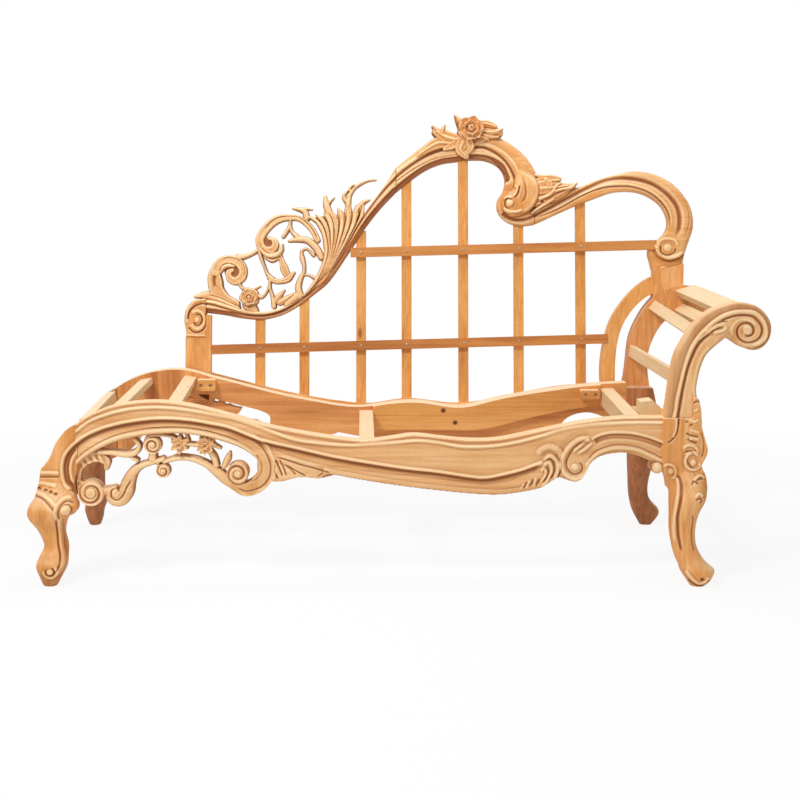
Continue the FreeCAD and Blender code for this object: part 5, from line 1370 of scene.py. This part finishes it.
crest_straps = [
    # Bed along the crest and the left scroll
    ("roll", -1, [(-562, 284), (-530, 288), (-490, 276), (-440, 252)], [5, 12, 12, 8]),
    ("scoop", 1, [(-448, 262), (-478, 277), (-500, 302), (-505, 325), (-507, 345), (-503, 362), (-490, 374)],
     [14, 17, 21, 22, 19, 14, 10]),
    ("scoop", 3, [(-504, 352), (-500, 372), (-484, 386), (-460, 389), (-438, 380), (-426, 360), (-430, 338),
                  (-448, 327), (-464, 335), (-467, 352), (-456, 360)],
                  [12, 13, 13, 13, 13, 12, 12, 11, 10, 8, 5]),
    ("roll", 5, [(-490, 352), (-482, 366), (-468, 372), (-452, 370)], [3, 6, 6, 3]),
    ("leaf", 1, [(-444, 380), (-442, 402)], [9, 5]),
    ("roll", 0, [(-442, 394), (-420, 399), (-400, 406), (-384, 416)], [10, 8, 6, 6]),
    ("roll", 0, [(-440, 328), (-432, 312), (-420, 300)], [5, 5, 6]),
    ("leaf", 0, [(-398, 302), (-378, 313)], [4, 3]),
    ("roll", -1, [(-409, 262), (-395, 244)], [20, 14]),
    ("roll", 0, [(-384, 284), (-370, 284), (-356, 303), (-349, 326)], [8, 5, 4, 5]),
    # Middle scrolls
    ("scoop", 3, [(-354, 450), (-340, 446), (-334, 430), (-346, 415), (-367, 416), (-379, 436), (-374, 460),
                  (-350, 490), (-324, 506), (-295, 509), (-268, 506), (-246, 492), (-228, 471), (-215, 445)],
     [4, 7, 10, 11, 12, 12, 13, 13, 12, 9, 8, 9, 9, 9]),
    ("roll", 5, [(-377, 418), (-360, 402), (-336, 400), (-318, 414), (-314, 432)], [4, 7, 8, 7, 3]),
    ("roll", 3, [(-364, 394), (-344, 386), (-326, 392)], [3, 6, 3]),
    ("roll", 0, [(-370, 425), (-355, 412), (-335, 405), (-318, 400)], [8, 8, 8, 5]),
    ("roll", 0, [(-380, 412), (-374, 392), (-365, 368), (-357, 348), (-342, 334)], [7, 6, 5, 6, 8]),
    ("reed", 1, [(-352, 337), (-335, 328), (-315, 328), (-297, 335), (-282, 352)], [7, 8, 8, 9, 5]),
    ("scoop", 2, [(-300, 342), (-309, 362), (-316, 385), (-325, 402)], [9, 12, 8, 8]),
    ("roll", 0, [(-291, 506), (-294, 485), (-303, 468), (-312, 455)], [4, 6, 6, 6]),
    ("roll", 0, [(-293, 488), (-288, 470), (-272, 453)], [5, 6, 8]),
    ("roll", 1, [(-204, 396), (-220, 424), (-244, 444), (-270, 447), (-296, 442)], [10, 11, 10, 9, 4]),
    ("roll", 0, [(-338, 256), (-343, 285), (-350, 310), (-349, 330)], [8, 6, 5, 6]),
    ("leaf", 1, [(-338, 266), (-325, 284), (-308, 302)], [9, 9, 3]),
    ("leaf", 1, [(-322, 268), (-300, 280), (-282, 293)], [10, 9, 3]),
    ("roll", 0, [(-300, 262), (-270, 288)], [12, 12]),
    ("roll", 0, [(-262, 280), (-269, 310), (-263, 335), (-254, 352), (-253, 372), (-258, 392), (-261, 415)],
     [11, 10, 8, 6, 6, 8, 4]),
    ("roll", 0, [(-262, 412), (-246, 420), (-226, 402)], [4, 4, 6]),
    ("leaf", 0, [(-258, 346), (-240, 345), (-222, 336)], [4, 4, 6]),
    # Tips of the fan
    ("roll", 4, [(-172, 480), (-180, 515), (-190, 545), (-193, 568)], [14, 12, 10, 5]),
    ("leaf", 2, [(-186, 540), (-180, 553), (-167, 566)], [6, 5, 2]),
    ("leaf", 3, [(-145, 480), (-148, 512), (-156, 534)], [16, 12, 3]),
    ("scoop", 3, [(-130, 490), (-128, 520), (-128, 550)], [13, 12, 8]),
    ("roll", 2, [(-128, 545), (-124, 570), (-112, 590), (-95, 604), (-72, 614), (-48, 617)],
     [9, 7, 5, 5, 3, 2]),
    ("leaf", 2, [(-132, 552), (-140, 570), (-127, 588)], [7, 6, 2]),
    ("leaf", 2, [(-122, 575), (-122, 594), (-111, 603)], [5, 4, 2]),
    ("leaf", 3, [(-115, 500), (-102, 530), (-84, 552), (-66, 560)], [10, 10, 7, 2]),
    ("roll", 1, [(-245, 508), (-254, 528), (-286, 535)], [10, 9, 2]),
    ("leaf", 1, [(-256, 534), (-230, 532)], [5, 2]),
]


def carve_crest_fretwork():
    sheet = Sheet(-572, -40, 236, 624, 1.35)
    ground = -16.0
    sheet.height[:] = ground
    lay_straps(sheet, crest_straps, 0, 9)
    # Reeds of the fan, spread between the big scroll and the crest
    first = smooth([(-264, 272), (-218, 326), (-188, 400), (-196, 462), (-216, 496), (-242, 512)], 8)
    last = smooth([(-236, 292), (-200, 334), (-160, 385), (-118, 452), (-92, 502), (-84, 548)], 8)
    sheet.outline([[(-264, 272), (-218, 326), (-188, 400), (-196, 462), (-216, 496), (-236, 508)],
                   [(-236, 508), (-190, 516)], [(-190, 516), (-130, 516)], [(-130, 516), (-84, 540)],
                   [(-84, 540), (-92, 502), (-118, 452), (-160, 385), (-200, 334), (-236, 292)],
                   [(-236, 292), (-264, 272)]])
    reeds = 8
    for k in range(reeds):
        share = k / (reeds - 1)
        line = first * (1 - share) + last * share
        lay_straps(sheet, [("reed" if k % 2 else "roll", 3 + k % 3, line[::4],
                            [3, 7, 9, 9, 10, 10, 8, 8, 6, 5, 2])], 0, 8)
    for k in range(reeds - 1):
        share = (k + 0.5) / (reeds - 1)
        sheet.groove(first * (1 - share) + last * share, 2.6, 4.5, 0.1)
    # Hollow and veins along the bands
    sheet.groove([(-503, 352), (-508, 330), (-504, 304)], 7, 4.5, 0.3)
    sheet.groove([(-368, 470), (-348, 494), (-324, 508), (-295, 512), (-266, 508), (-243, 492), (-226, 470),
                  (-214, 446)], 2.2, 3.4, 0.08)
    sheet.groove([(-488, 388), (-462, 395), (-434, 385), (-420, 361), (-425, 336)], 2.2, 3, 0.15)
    sheet.groove([(-530, 290), (-490, 280), (-452, 262), (-420, 250)], 3, 3.4, 0.15)
    # Sunk ground inside the curls
    for x, z, radius in ((-452, 358, 28), (-352, 434, 22)):
        ring = sheet.disc(x, z, radius)
        sheet.add(ring)
        # Painted shade on the deep ground inside each curl
        sheet.painted_shade += 0.35 * fade(ring, 0, 3) * (sheet.height < -8)
        sheet.height = np.where(ring > 0, np.maximum(sheet.height, -9), sheet.height)
    # Rose in its ring
    for radius, top in ((28, 0), (21, 3), (12, 6)):
        form, far = blossom(sheet, *ring_rose, radius, top, 8, 0.14, 2, 0.06)
        sheet.height = np.where(far < 1, form, sheet.height)
    sheet.ball(*ring_rose, 5, 4)
    sheet.ease(6, 5)
    sheet.height = np.maximum(sheet.height, ground)
    sheet.cut(sheet.inside_of(loop_of(crest_lower_left, crest_upper_left[::-1]),
                              [[(-590, 236), (-590, 245)], [(-590, 245), (-566, 272), (-530, 278)],
                               [(-530, 278), (-530, 236)], [(-530, 236), (-590, 236)]]))
    board_piece("crest_fretwork_carving", "crest_fretwork", sheet, "back", carving_set - 4, carving_back,
                "carved_beech", "level", 0.8)


def carve_crest_flower():
    sheet = Sheet(60, 330, 664, 806, 1.1)
    ground = -6.0
    sheet.height[:] = ground
    straps = [
        ("leaf", 8, [(222, 730), (262, 748), (300, 748)], [26, 24, 12]),
        ("leaf", 10, [(240, 770), (262, 774), (284, 768), (294, 762)], [8, 12, 9, 3]),
        ("leaf", 12, [(243, 757), (268, 750), (290, 751), (310, 759)], [9, 11, 8, 3]),
        ("leaf", 11, [(245, 747), (264, 739), (283, 736), (298, 736)], [8, 8, 6, 3]),
        ("leaf", 10, [(238, 740), (256, 735), (272, 726)], [8, 7, 3]),
        ("leaf", 12, [(204, 744), (197, 764), (187, 782), (176, 799)], [17, 13, 9, 2]),
        ("scoop", 14, [(205, 752), (222, 776), (243, 778)], [20, 14, 9]),
        ("leaf", 10, [(180, 728), (150, 736), (122, 752)], [16, 20, 12]),
        ("leaf", 11, [(132, 748), (112, 768)], [10, 3]),
        ("leaf", 11, [(138, 748), (146, 770)], [10, 3]),
        ("leaf", 9, [(160, 718), (124, 718), (84, 694), (68, 680)], [14, 18, 10, 4]),
        ("leaf", 12, [(198, 722), (190, 700), (206, 682)], [20, 16, 10]),
        ("scoop", 12, [(186, 724), (168, 712), (146, 702)], [14, 12, 6]),
        ("scoop", 14, [(214, 724), (219, 708), (208, 690)], [10, 11, 7]),
    ]
    lay_straps(sheet, straps, 0, 9)
    # Cupped blossom right of the middle
    for x, z, radius, top in ((219, 758, 38, 15), (219, 760, 28, 19), (219, 760, 17, 22)):
        form, far = blossom(sheet, x, z, radius, top, 10, 0.12, 2.2, 0.07, 1.25)
        at_rim = np.where(far > 0.85, sheet.height, form)
        sheet.height = np.where(far < 1, np.maximum(form, at_rim), sheet.height)
    sheet.ball(219, 760, 6, 5)
    sheet.ball(184, 758, 11, 5)
    sheet.ease(6, 5)
    sheet.height = np.maximum(sheet.height, ground)
    board_piece("crest_flower_carving", "crest_flower", sheet, "back", -2, 30, "worn_beech", "level", 0.7)


def carve_s_scroll():
    sheet = Sheet(298, 422, 500, 676, 1.1)
    ground = -4.0
    sheet.height[:] = ground
    body = [(358, 668), (380, 645), (404, 622), (414, 590), (409, 555), (390, 528), (360, 510),
            (330, 508), (309, 528), (306, 552), (320, 572), (337, 590), (344, 622), (358, 668)]
    inside = sheet.inside_of([body])
    sheet.add(inside)
    rise, rounded = 10, 16
    sheet.height = np.where(inside > -1, rise * np.sqrt(np.clip(inside / rounded, 0, 1)) - 1, sheet.height)
    sheet.ridge([(352, 640), (376, 628), (400, 608), (407, 584), (400, 556), (382, 532), (358, 520)],
                6, 2.5, 0.1)
    sheet.groove([(362, 636), (372, 600), (374, 570), (362, 545)], 5, 3, 0.15)
    sheet.groove([(358, 600), (352, 575), (341, 560)], 3.4, 5, 0.15)
    sheet.groove([(312, 560), (308, 545), (312, 530)], 3, 4, 0.1)
    sheet.ridge([(336, 562), (320, 566), (308, 556), (308, 537), (322, 524), (345, 522), (366, 528)],
                5, 4.4, 0.06)
    sheet.groove([(338, 557), (322, 560), (315, 549), (318, 536), (330, 531)], 2.6, 5, 0.08)
    sheet.ball(329, 547, 10, 7)
    sheet.ridge([(339, 600), (350, 590), (344, 574), (336, 564)], 3.6, 3, 0.2)
    sheet.ease(5, 4)
    sheet.height = sheet.blur(np.maximum(sheet.height, ground), 0.7)
    tip = fade(sheet.z, 596, 652)
    sheet.height = sheet.height * (1 - tip) - 5 * tip
    board_piece("crest_s_scroll_carving", "crest_s_scroll", sheet, "back", -6, 0, "worn_beech", "upright")


def carve_spray():
    sheet = Sheet(384, 528, 500, 646, 1.1)
    ground = -6.0
    sheet.height[:] = ground
    straps = [
        ("leaf", 2, [(405, 604), (432, 610), (468, 614)], [16, 15, 8]),
        ("scoop", 3, [(403, 628), (425, 622), (450, 622), (474, 618)], [4, 7, 8, 4]),
        ("leaf", 2, [(402, 560), (440, 572), (480, 590), (519, 602)], [12, 18, 13, 3]),
        ("leaf", 4, [(418, 590), (450, 592), (494, 598)], [20, 18, 7]),
        ("leaf", 1, [(405, 545), (440, 556), (478, 576), (513, 594)], [10, 12, 12, 5]),
        ("roll", 6, [(415, 560), (438, 570), (452, 582), (460, 596), (474, 606)], [5, 6, 6, 5, 3]),
        ("roll", 6, [(458, 582), (480, 588), (502, 592), (520, 606)], [5, 5, 5, 3]),
        ("roll", 5, [(392, 520), (412, 534), (430, 545), (454, 560)], [4, 5, 5, 3]),
        ("scoop", 6, [(432, 614), (443, 602), (438, 586), (430, 577)], [7, 9, 9, 5]),
    ]
    lay_straps(sheet, straps, 0, 8)
    sheet.dent(421, 552, 5, 5, 9)
    sheet.ease(5, 4)
    sheet.height = np.maximum(sheet.height, ground)
    lap = 8
    sheet.cut(sheet.inside_of(loop_of(arch_outer, arch_inner)) - lap)
    board_piece("crest_spray_carving", "crest_spray", sheet, "back", -6, 30, "worn_beech", "level", 0.7)


# Plain timbers keep the model's own meshes
PLAIN = {
    "sawn_pine": {"upright": ["back_slat_%d" % k for k in range(1, 8)] + ["back_arm_stile"],
                  "level": ["back_bottom_rail", "rear_rail_liner", "post_cleat_left", "post_cleat_right"]},
    "amber_pine": {"level": ["back_cross_slat_lower", "back_cross_slat_upper"]},
    "pale_pine": {"deep": ["arm_slat_1", "arm_slat_2", "arm_slat_3", "arm_slat_4", "center_cross_rail",
                           "right_cross_rail", "side_rail_right", "end_rail_left", "seat_slat_left_1",
                           "seat_slat_left_2", "arm_corner_block"]},
    "rear_beech": {"level": ["rear_rail", "rear_rail_volute", "rear_fretwork", "joint_dowels"],
                   "upright": ["rear_left_arch", "arm_rear_scroll"]},
    "red_beech": {"upright": ["rear_right_leg"]},
    "worn_beech": {"upright": ["back_left_post", "back_right_post"]},
}
liner_knots = ((137, 352), (170, 318))


def finish_plain_timbers():
    for finish, ways in PLAIN.items():
        for grain, names in ways.items():
            for name in names:
                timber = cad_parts[name]
                for part in (timber if isinstance(timber, (list, tuple)) else [timber]):
                    part.data.materials.clear()
                    knots = liner_knots if name == "rear_rail_liner" else ()
                    part.data.materials.append(wood(finish, grain, knots))


def zinc():
    """Bright zinc-plated steel: cool grey, and glossy on the heads."""
    material, tree = new_material("zinc_plated_steel")
    shader = tree.nodes["Principled BSDF"]
    place = node(tree, "ShaderNodeTexCoord").outputs["Object"]
    cloud = node(tree, "ShaderNodeTexNoise", Vector=place, Scale=400.0, Detail=2.0).outputs["Fac"]
    stops = [(0.35, linear("#8C8378")), (0.7, linear("#B9B1A5"))]
    color = node(tree, "ShaderNodeValToRGB", {"stops": stops}, Fac=cloud).outputs["Color"]
    tree.links.new(color, shader.inputs["Base Color"])
    shader.inputs["Metallic"].default_value = 1
    shader.inputs["Roughness"].default_value = 0.38
    return material


def spots_of(timber):
    """Middle of the front end of each loose fastener in a node."""
    mesh = timber.data
    place = read(mesh.vertices, "co")
    weld, front_depth = 1e-5, 0.001
    corner = np.unique(np.round(place / weld), axis=0, return_inverse=True)[1].ravel()
    faces = np.array([corner[list(face.vertices)[:3]] for face in mesh.polygons])
    label = np.arange(corner.max() + 1)
    while True:
        low = label[faces].min(axis=1)
        before = label.copy()
        for k in range(3):
            np.minimum.at(label, faces[:, k], low)
        if (label == before).all():
            break
    spots = []
    for group in np.unique(label):
        own = place[label[corner] == group]
        front = own[own[:, 1] < own[:, 1].min() + front_depth]
        spots.append((front[:, 0].min() / 2 + front[:, 0].max() / 2, front[:, 1].min(),
                      front[:, 2].min() / 2 + front[:, 2].max() / 2))
    return spots


def finish_fasteners():
    steel = zinc()
    tree = heads_tree()
    carving = bpy.context.scene.chaise_carving
    for name, radius, tilt in (
            ("back_slat_nails", carving.nail_head, -lean), ("cleat_screws", carving.screw_head, 0)):
        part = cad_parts[name]
        part.data.materials.clear()
        part.data.materials.append(steel)
        heads = grow(tree, plain_mesh(name + "_spots", spots_of(part), []),
                     {"Head radius": radius, "Rise": radius / 4, "Lean": tilt, "Finish": steel})
        heads.name = name + "_heads"
        add_piece(heads.name, heads, steel, [])
    bpy.data.node_groups.remove(tree)


# Stage

CAMERA_SPOT, CAMERA_DOWN = (-91.451, -3320, 975.887), 5    # in drawing millimetres, and degrees
# Lamps: name, place and aim in metres, power in watts, size in metres
LAMPS = (("key", (-1.7, -2.3, 3.3), (0, 0, 0.45), 90, 0.9), ("fill", (2.8, -2.4, 1.6), (0, 0, 0.4), 14, 2.2),
         ("top", (0.2, 0.1, 3.2), (0, 0, 0.3), 36, 1.4))


def build_stage(settings):
    scene = bpy.context.scene
    scene.view_settings.view_transform = "Standard"
    camera_data = bpy.data.cameras.new("camera")
    camera_data.lens = 62.094
    camera_data.sensor_width = 36
    camera_data.shift_x = 0.04875
    camera_data.shift_y = -0.117847
    camera = put("camera", camera_data)
    camera.location = to_world("front", *CAMERA_SPOT).reshape(3)
    camera.rotation_euler = (math.radians(90 - CAMERA_DOWN), 0, 0)
    scene.camera = camera

    size = 12
    corners = [(-size, -size, 0), (size, -size, 0), (size, size, 0), (-size, size, 0)]
    floor = put("studio_floor", plain_mesh("studio_floor", corners, [(0, 1, 2, 3)]))
    # Matt paper: no gloss, and white to the camera with a soft shadow under the frame
    paper, tree = new_material("white_paper_floor")
    tree.nodes.remove(tree.nodes["Principled BSDF"])
    matt = node(tree, "ShaderNodeBsdfDiffuse", Color=(0.9, 0.9, 0.9, 1)).outputs[0]
    bright = node(tree, "ShaderNodeEmission", Color=(1, 1, 1, 1), Strength=1.0).outputs[0]
    spot = node(tree, "ShaderNodeTexCoord").outputs["Object"]
    away = node(tree, "ShaderNodeVectorMath", {"operation": "LENGTH"}, i0=spot).outputs["Value"]
    plain = node(tree, "ShaderNodeMapRange", Value=away, i1=1.1, i2=2.4, i3=settings.white_share,
                 i4=1.0).outputs[0]
    share = node(tree, "ShaderNodeMath", {"operation": "MULTIPLY"}, i0=plain_or_mirrored(tree),
                 i1=plain).outputs[0]
    both = node(tree, "ShaderNodeMixShader", i0=share, i1=matt, i2=bright).outputs[0]
    tree.links.new(both, tree.nodes["Material Output"].inputs["Surface"])
    floor.data.materials.append(paper)

    world = bpy.data.worlds.new("studio")
    scene.world = world
    world.use_nodes = True
    tree = world.node_tree
    ground = tree.nodes["Background"]
    ground.inputs["Color"].default_value = (1, 1, 1, 1)
    strength = node(tree, "ShaderNodeMapRange", Value=plain_or_mirrored(tree), i1=0.0, i2=1.0,
                    i3=settings.sky_strength, i4=1.0).outputs[0]
    tree.links.new(strength, ground.inputs["Strength"])

    for name, place, aim, power, wide in LAMPS:
        lamp = bpy.data.lights.new(name, "AREA")
        lamp.energy = power
        lamp.size = wide
        lamp_object = put(name, lamp)
        lamp_object.location = place
        lamp_object.rotation_euler = (Vector(aim) - Vector(place)).to_track_quat("-Z", "Y").to_euler()


class ChaiseStageSettings(bpy.types.PropertyGroup):
    """Floor and light of the studio."""
    white_share: bpy.props.FloatProperty(
        name="White share", description="How far the floor shows as plain white", default=0.88, min=0, max=1,
        subtype="FACTOR")
    sky_strength: bpy.props.FloatProperty(
        name="Sky strength", description="Strength of the even light around the frame", default=0.3,
        min=0, max=2)


class ChaiseCarvingSettings(bpy.types.PropertyGroup):
    """Sizes of the carving and the fasteners."""
    depth: bpy.props.FloatProperty(
        name="Depth", description="How deep the carving is cut, against the photographed one", default=1,
        min=0.2, max=1.5)
    rose_petals: bpy.props.IntProperty(
        name="Rose petals", description="Petals in the outer rings of the crest's rose", default=6,
        min=4, max=9)
    nail_head: bpy.props.FloatProperty(
        name="Nail head", description="Radius of the domed nail heads", default=0.003, min=0.001, max=0.006,
        unit="LENGTH")
    screw_head: bpy.props.FloatProperty(
        name="Screw head", description="Radius of the domed screw heads", default=0.0045, min=0.002, max=0.008,
        unit="LENGTH")


def wood_color(name, text):
    return bpy.props.FloatVectorProperty(name=name, description=text, subtype="COLOR", size=4, min=0, max=1,
                                         default=linear(FINISHES[name.lower().replace(" ", "_")][1]))


class ChaiseWoodSettings(bpy.types.PropertyGroup):
    """Middle colour of each wood finish."""
    carved_beech: wood_color("Carved beech", "Hand carved front rail and leaf work")
    worn_beech: wood_color("Worn beech", "Legs, crest and posts")
    rear_beech: wood_color("Rear beech", "Rear carcase left from the saw")
    # Rear legs' beech, made darker as painted shade
    red_beech: wood_color("Red beech", "Rear legs")
    sawn_pine: wood_color("Sawn pine", "Upright battens, liner and cleats")
    amber_pine: wood_color("Amber pine", "Battens nailed across the back")
    pale_pine: wood_color("Pale pine", "Cross members and arm slats")


class CHAISE_OT_front(bpy.types.Operator):
    """Carve the front rail, its volute, the pierced carving and the front legs"""
    bl_idname = "chaise.front"
    bl_label = "Carve front"

    def execute(self, context):
        carve_front_rail()
        carve_front_volute()
        carve_front_fretwork()
        carve_front_left_leg()
        carve_front_right_leg()
        return {"FINISHED"}


class CHAISE_OT_rear(bpy.types.Operator):
    """Shape the rear left leg"""
    bl_idname = "chaise.rear"
    bl_label = "Shape rear"

    def execute(self, context):
        shape_rear_left_leg()
        return {"FINISHED"}


class CHAISE_OT_arm(bpy.types.Operator):
    """Carve the scrolled arm"""
    bl_idname = "chaise.arm"
    bl_label = "Carve arm"

    def execute(self, context):
        carve_arm_front()
        return {"FINISHED"}


class CHAISE_OT_crest(bpy.types.Operator):
    """Carve the crest of the back and its leaf work"""
    bl_idname = "chaise.crest"
    bl_label = "Carve crest"

    def execute(self, context):
        carve_crest_left()
        carve_crest_center()
        carve_crest_arch()
        carve_left_block()
        carve_crest_fretwork()
        carve_crest_flower()
        carve_s_scroll()
        carve_spray()
        return {"FINISHED"}


class CHAISE_OT_flowers(bpy.types.Operator):
    """Grow the petals of the roses and the star flowers"""
    bl_idname = "chaise.flowers"
    bl_label = "Grow flowers"

    def execute(self, context):
        grow_flowers()
        return {"FINISHED"}


class CHAISE_OT_timbers(bpy.types.Operator):
    """Give the plain timbers and the fasteners their finish"""
    bl_idname = "chaise.timbers"
    bl_label = "Finish plain timbers"

    def execute(self, context):
        finish_plain_timbers()
        finish_fasteners()
        return {"FINISHED"}


class CHAISE_OT_stage(bpy.types.Operator):
    """Set up the camera, the floor and the light"""
    bl_idname = "chaise.stage"
    bl_label = "Set stage"

    def execute(self, context):
        build_stage(context.scene.chaise_stage)
        return {"FINISHED"}


class CHAISE_PT_panel(bpy.types.Panel):
    bl_idname = "CHAISE_PT_panel"
    bl_label = "Carved chaise longue"
    bl_space_type = "VIEW_3D"
    bl_region_type = "UI"
    bl_category = "Chaise"

    def draw(self, context):
        layout = self.layout
        for operator in OPERATORS:
            layout.operator(operator.bl_idname)
        for settings in SETTINGS:
            group = getattr(context.scene, settings)
            for name in group.__annotations__:
                layout.prop(group, name)


SETTINGS = {"chaise_stage": ChaiseStageSettings, "chaise_carving": ChaiseCarvingSettings,
            "chaise_wood": ChaiseWoodSettings}
OPERATORS = (CHAISE_OT_stage, CHAISE_OT_front, CHAISE_OT_rear, CHAISE_OT_arm, CHAISE_OT_crest,
             CHAISE_OT_flowers, CHAISE_OT_timbers)
CLASSES = tuple(SETTINGS.values()) + OPERATORS + (CHAISE_PT_panel,)


def register():
    for item in CLASSES:
        bpy.utils.register_class(item)
    for name, settings in SETTINGS.items():
        setattr(bpy.types.Scene, name, bpy.props.PointerProperty(type=settings))


def unregister():
    for name in SETTINGS:
        delattr(bpy.types.Scene, name)
    for item in reversed(CLASSES):
        bpy.utils.unregister_class(item)


def main():
    register()
    bpy.ops.chaise.stage()
    bpy.ops.chaise.front()
    bpy.ops.chaise.rear()
    bpy.ops.chaise.arm()
    bpy.ops.chaise.crest()
    bpy.ops.chaise.flowers()
    bpy.ops.chaise.timbers()


if __name__ == "__main__":
    main()
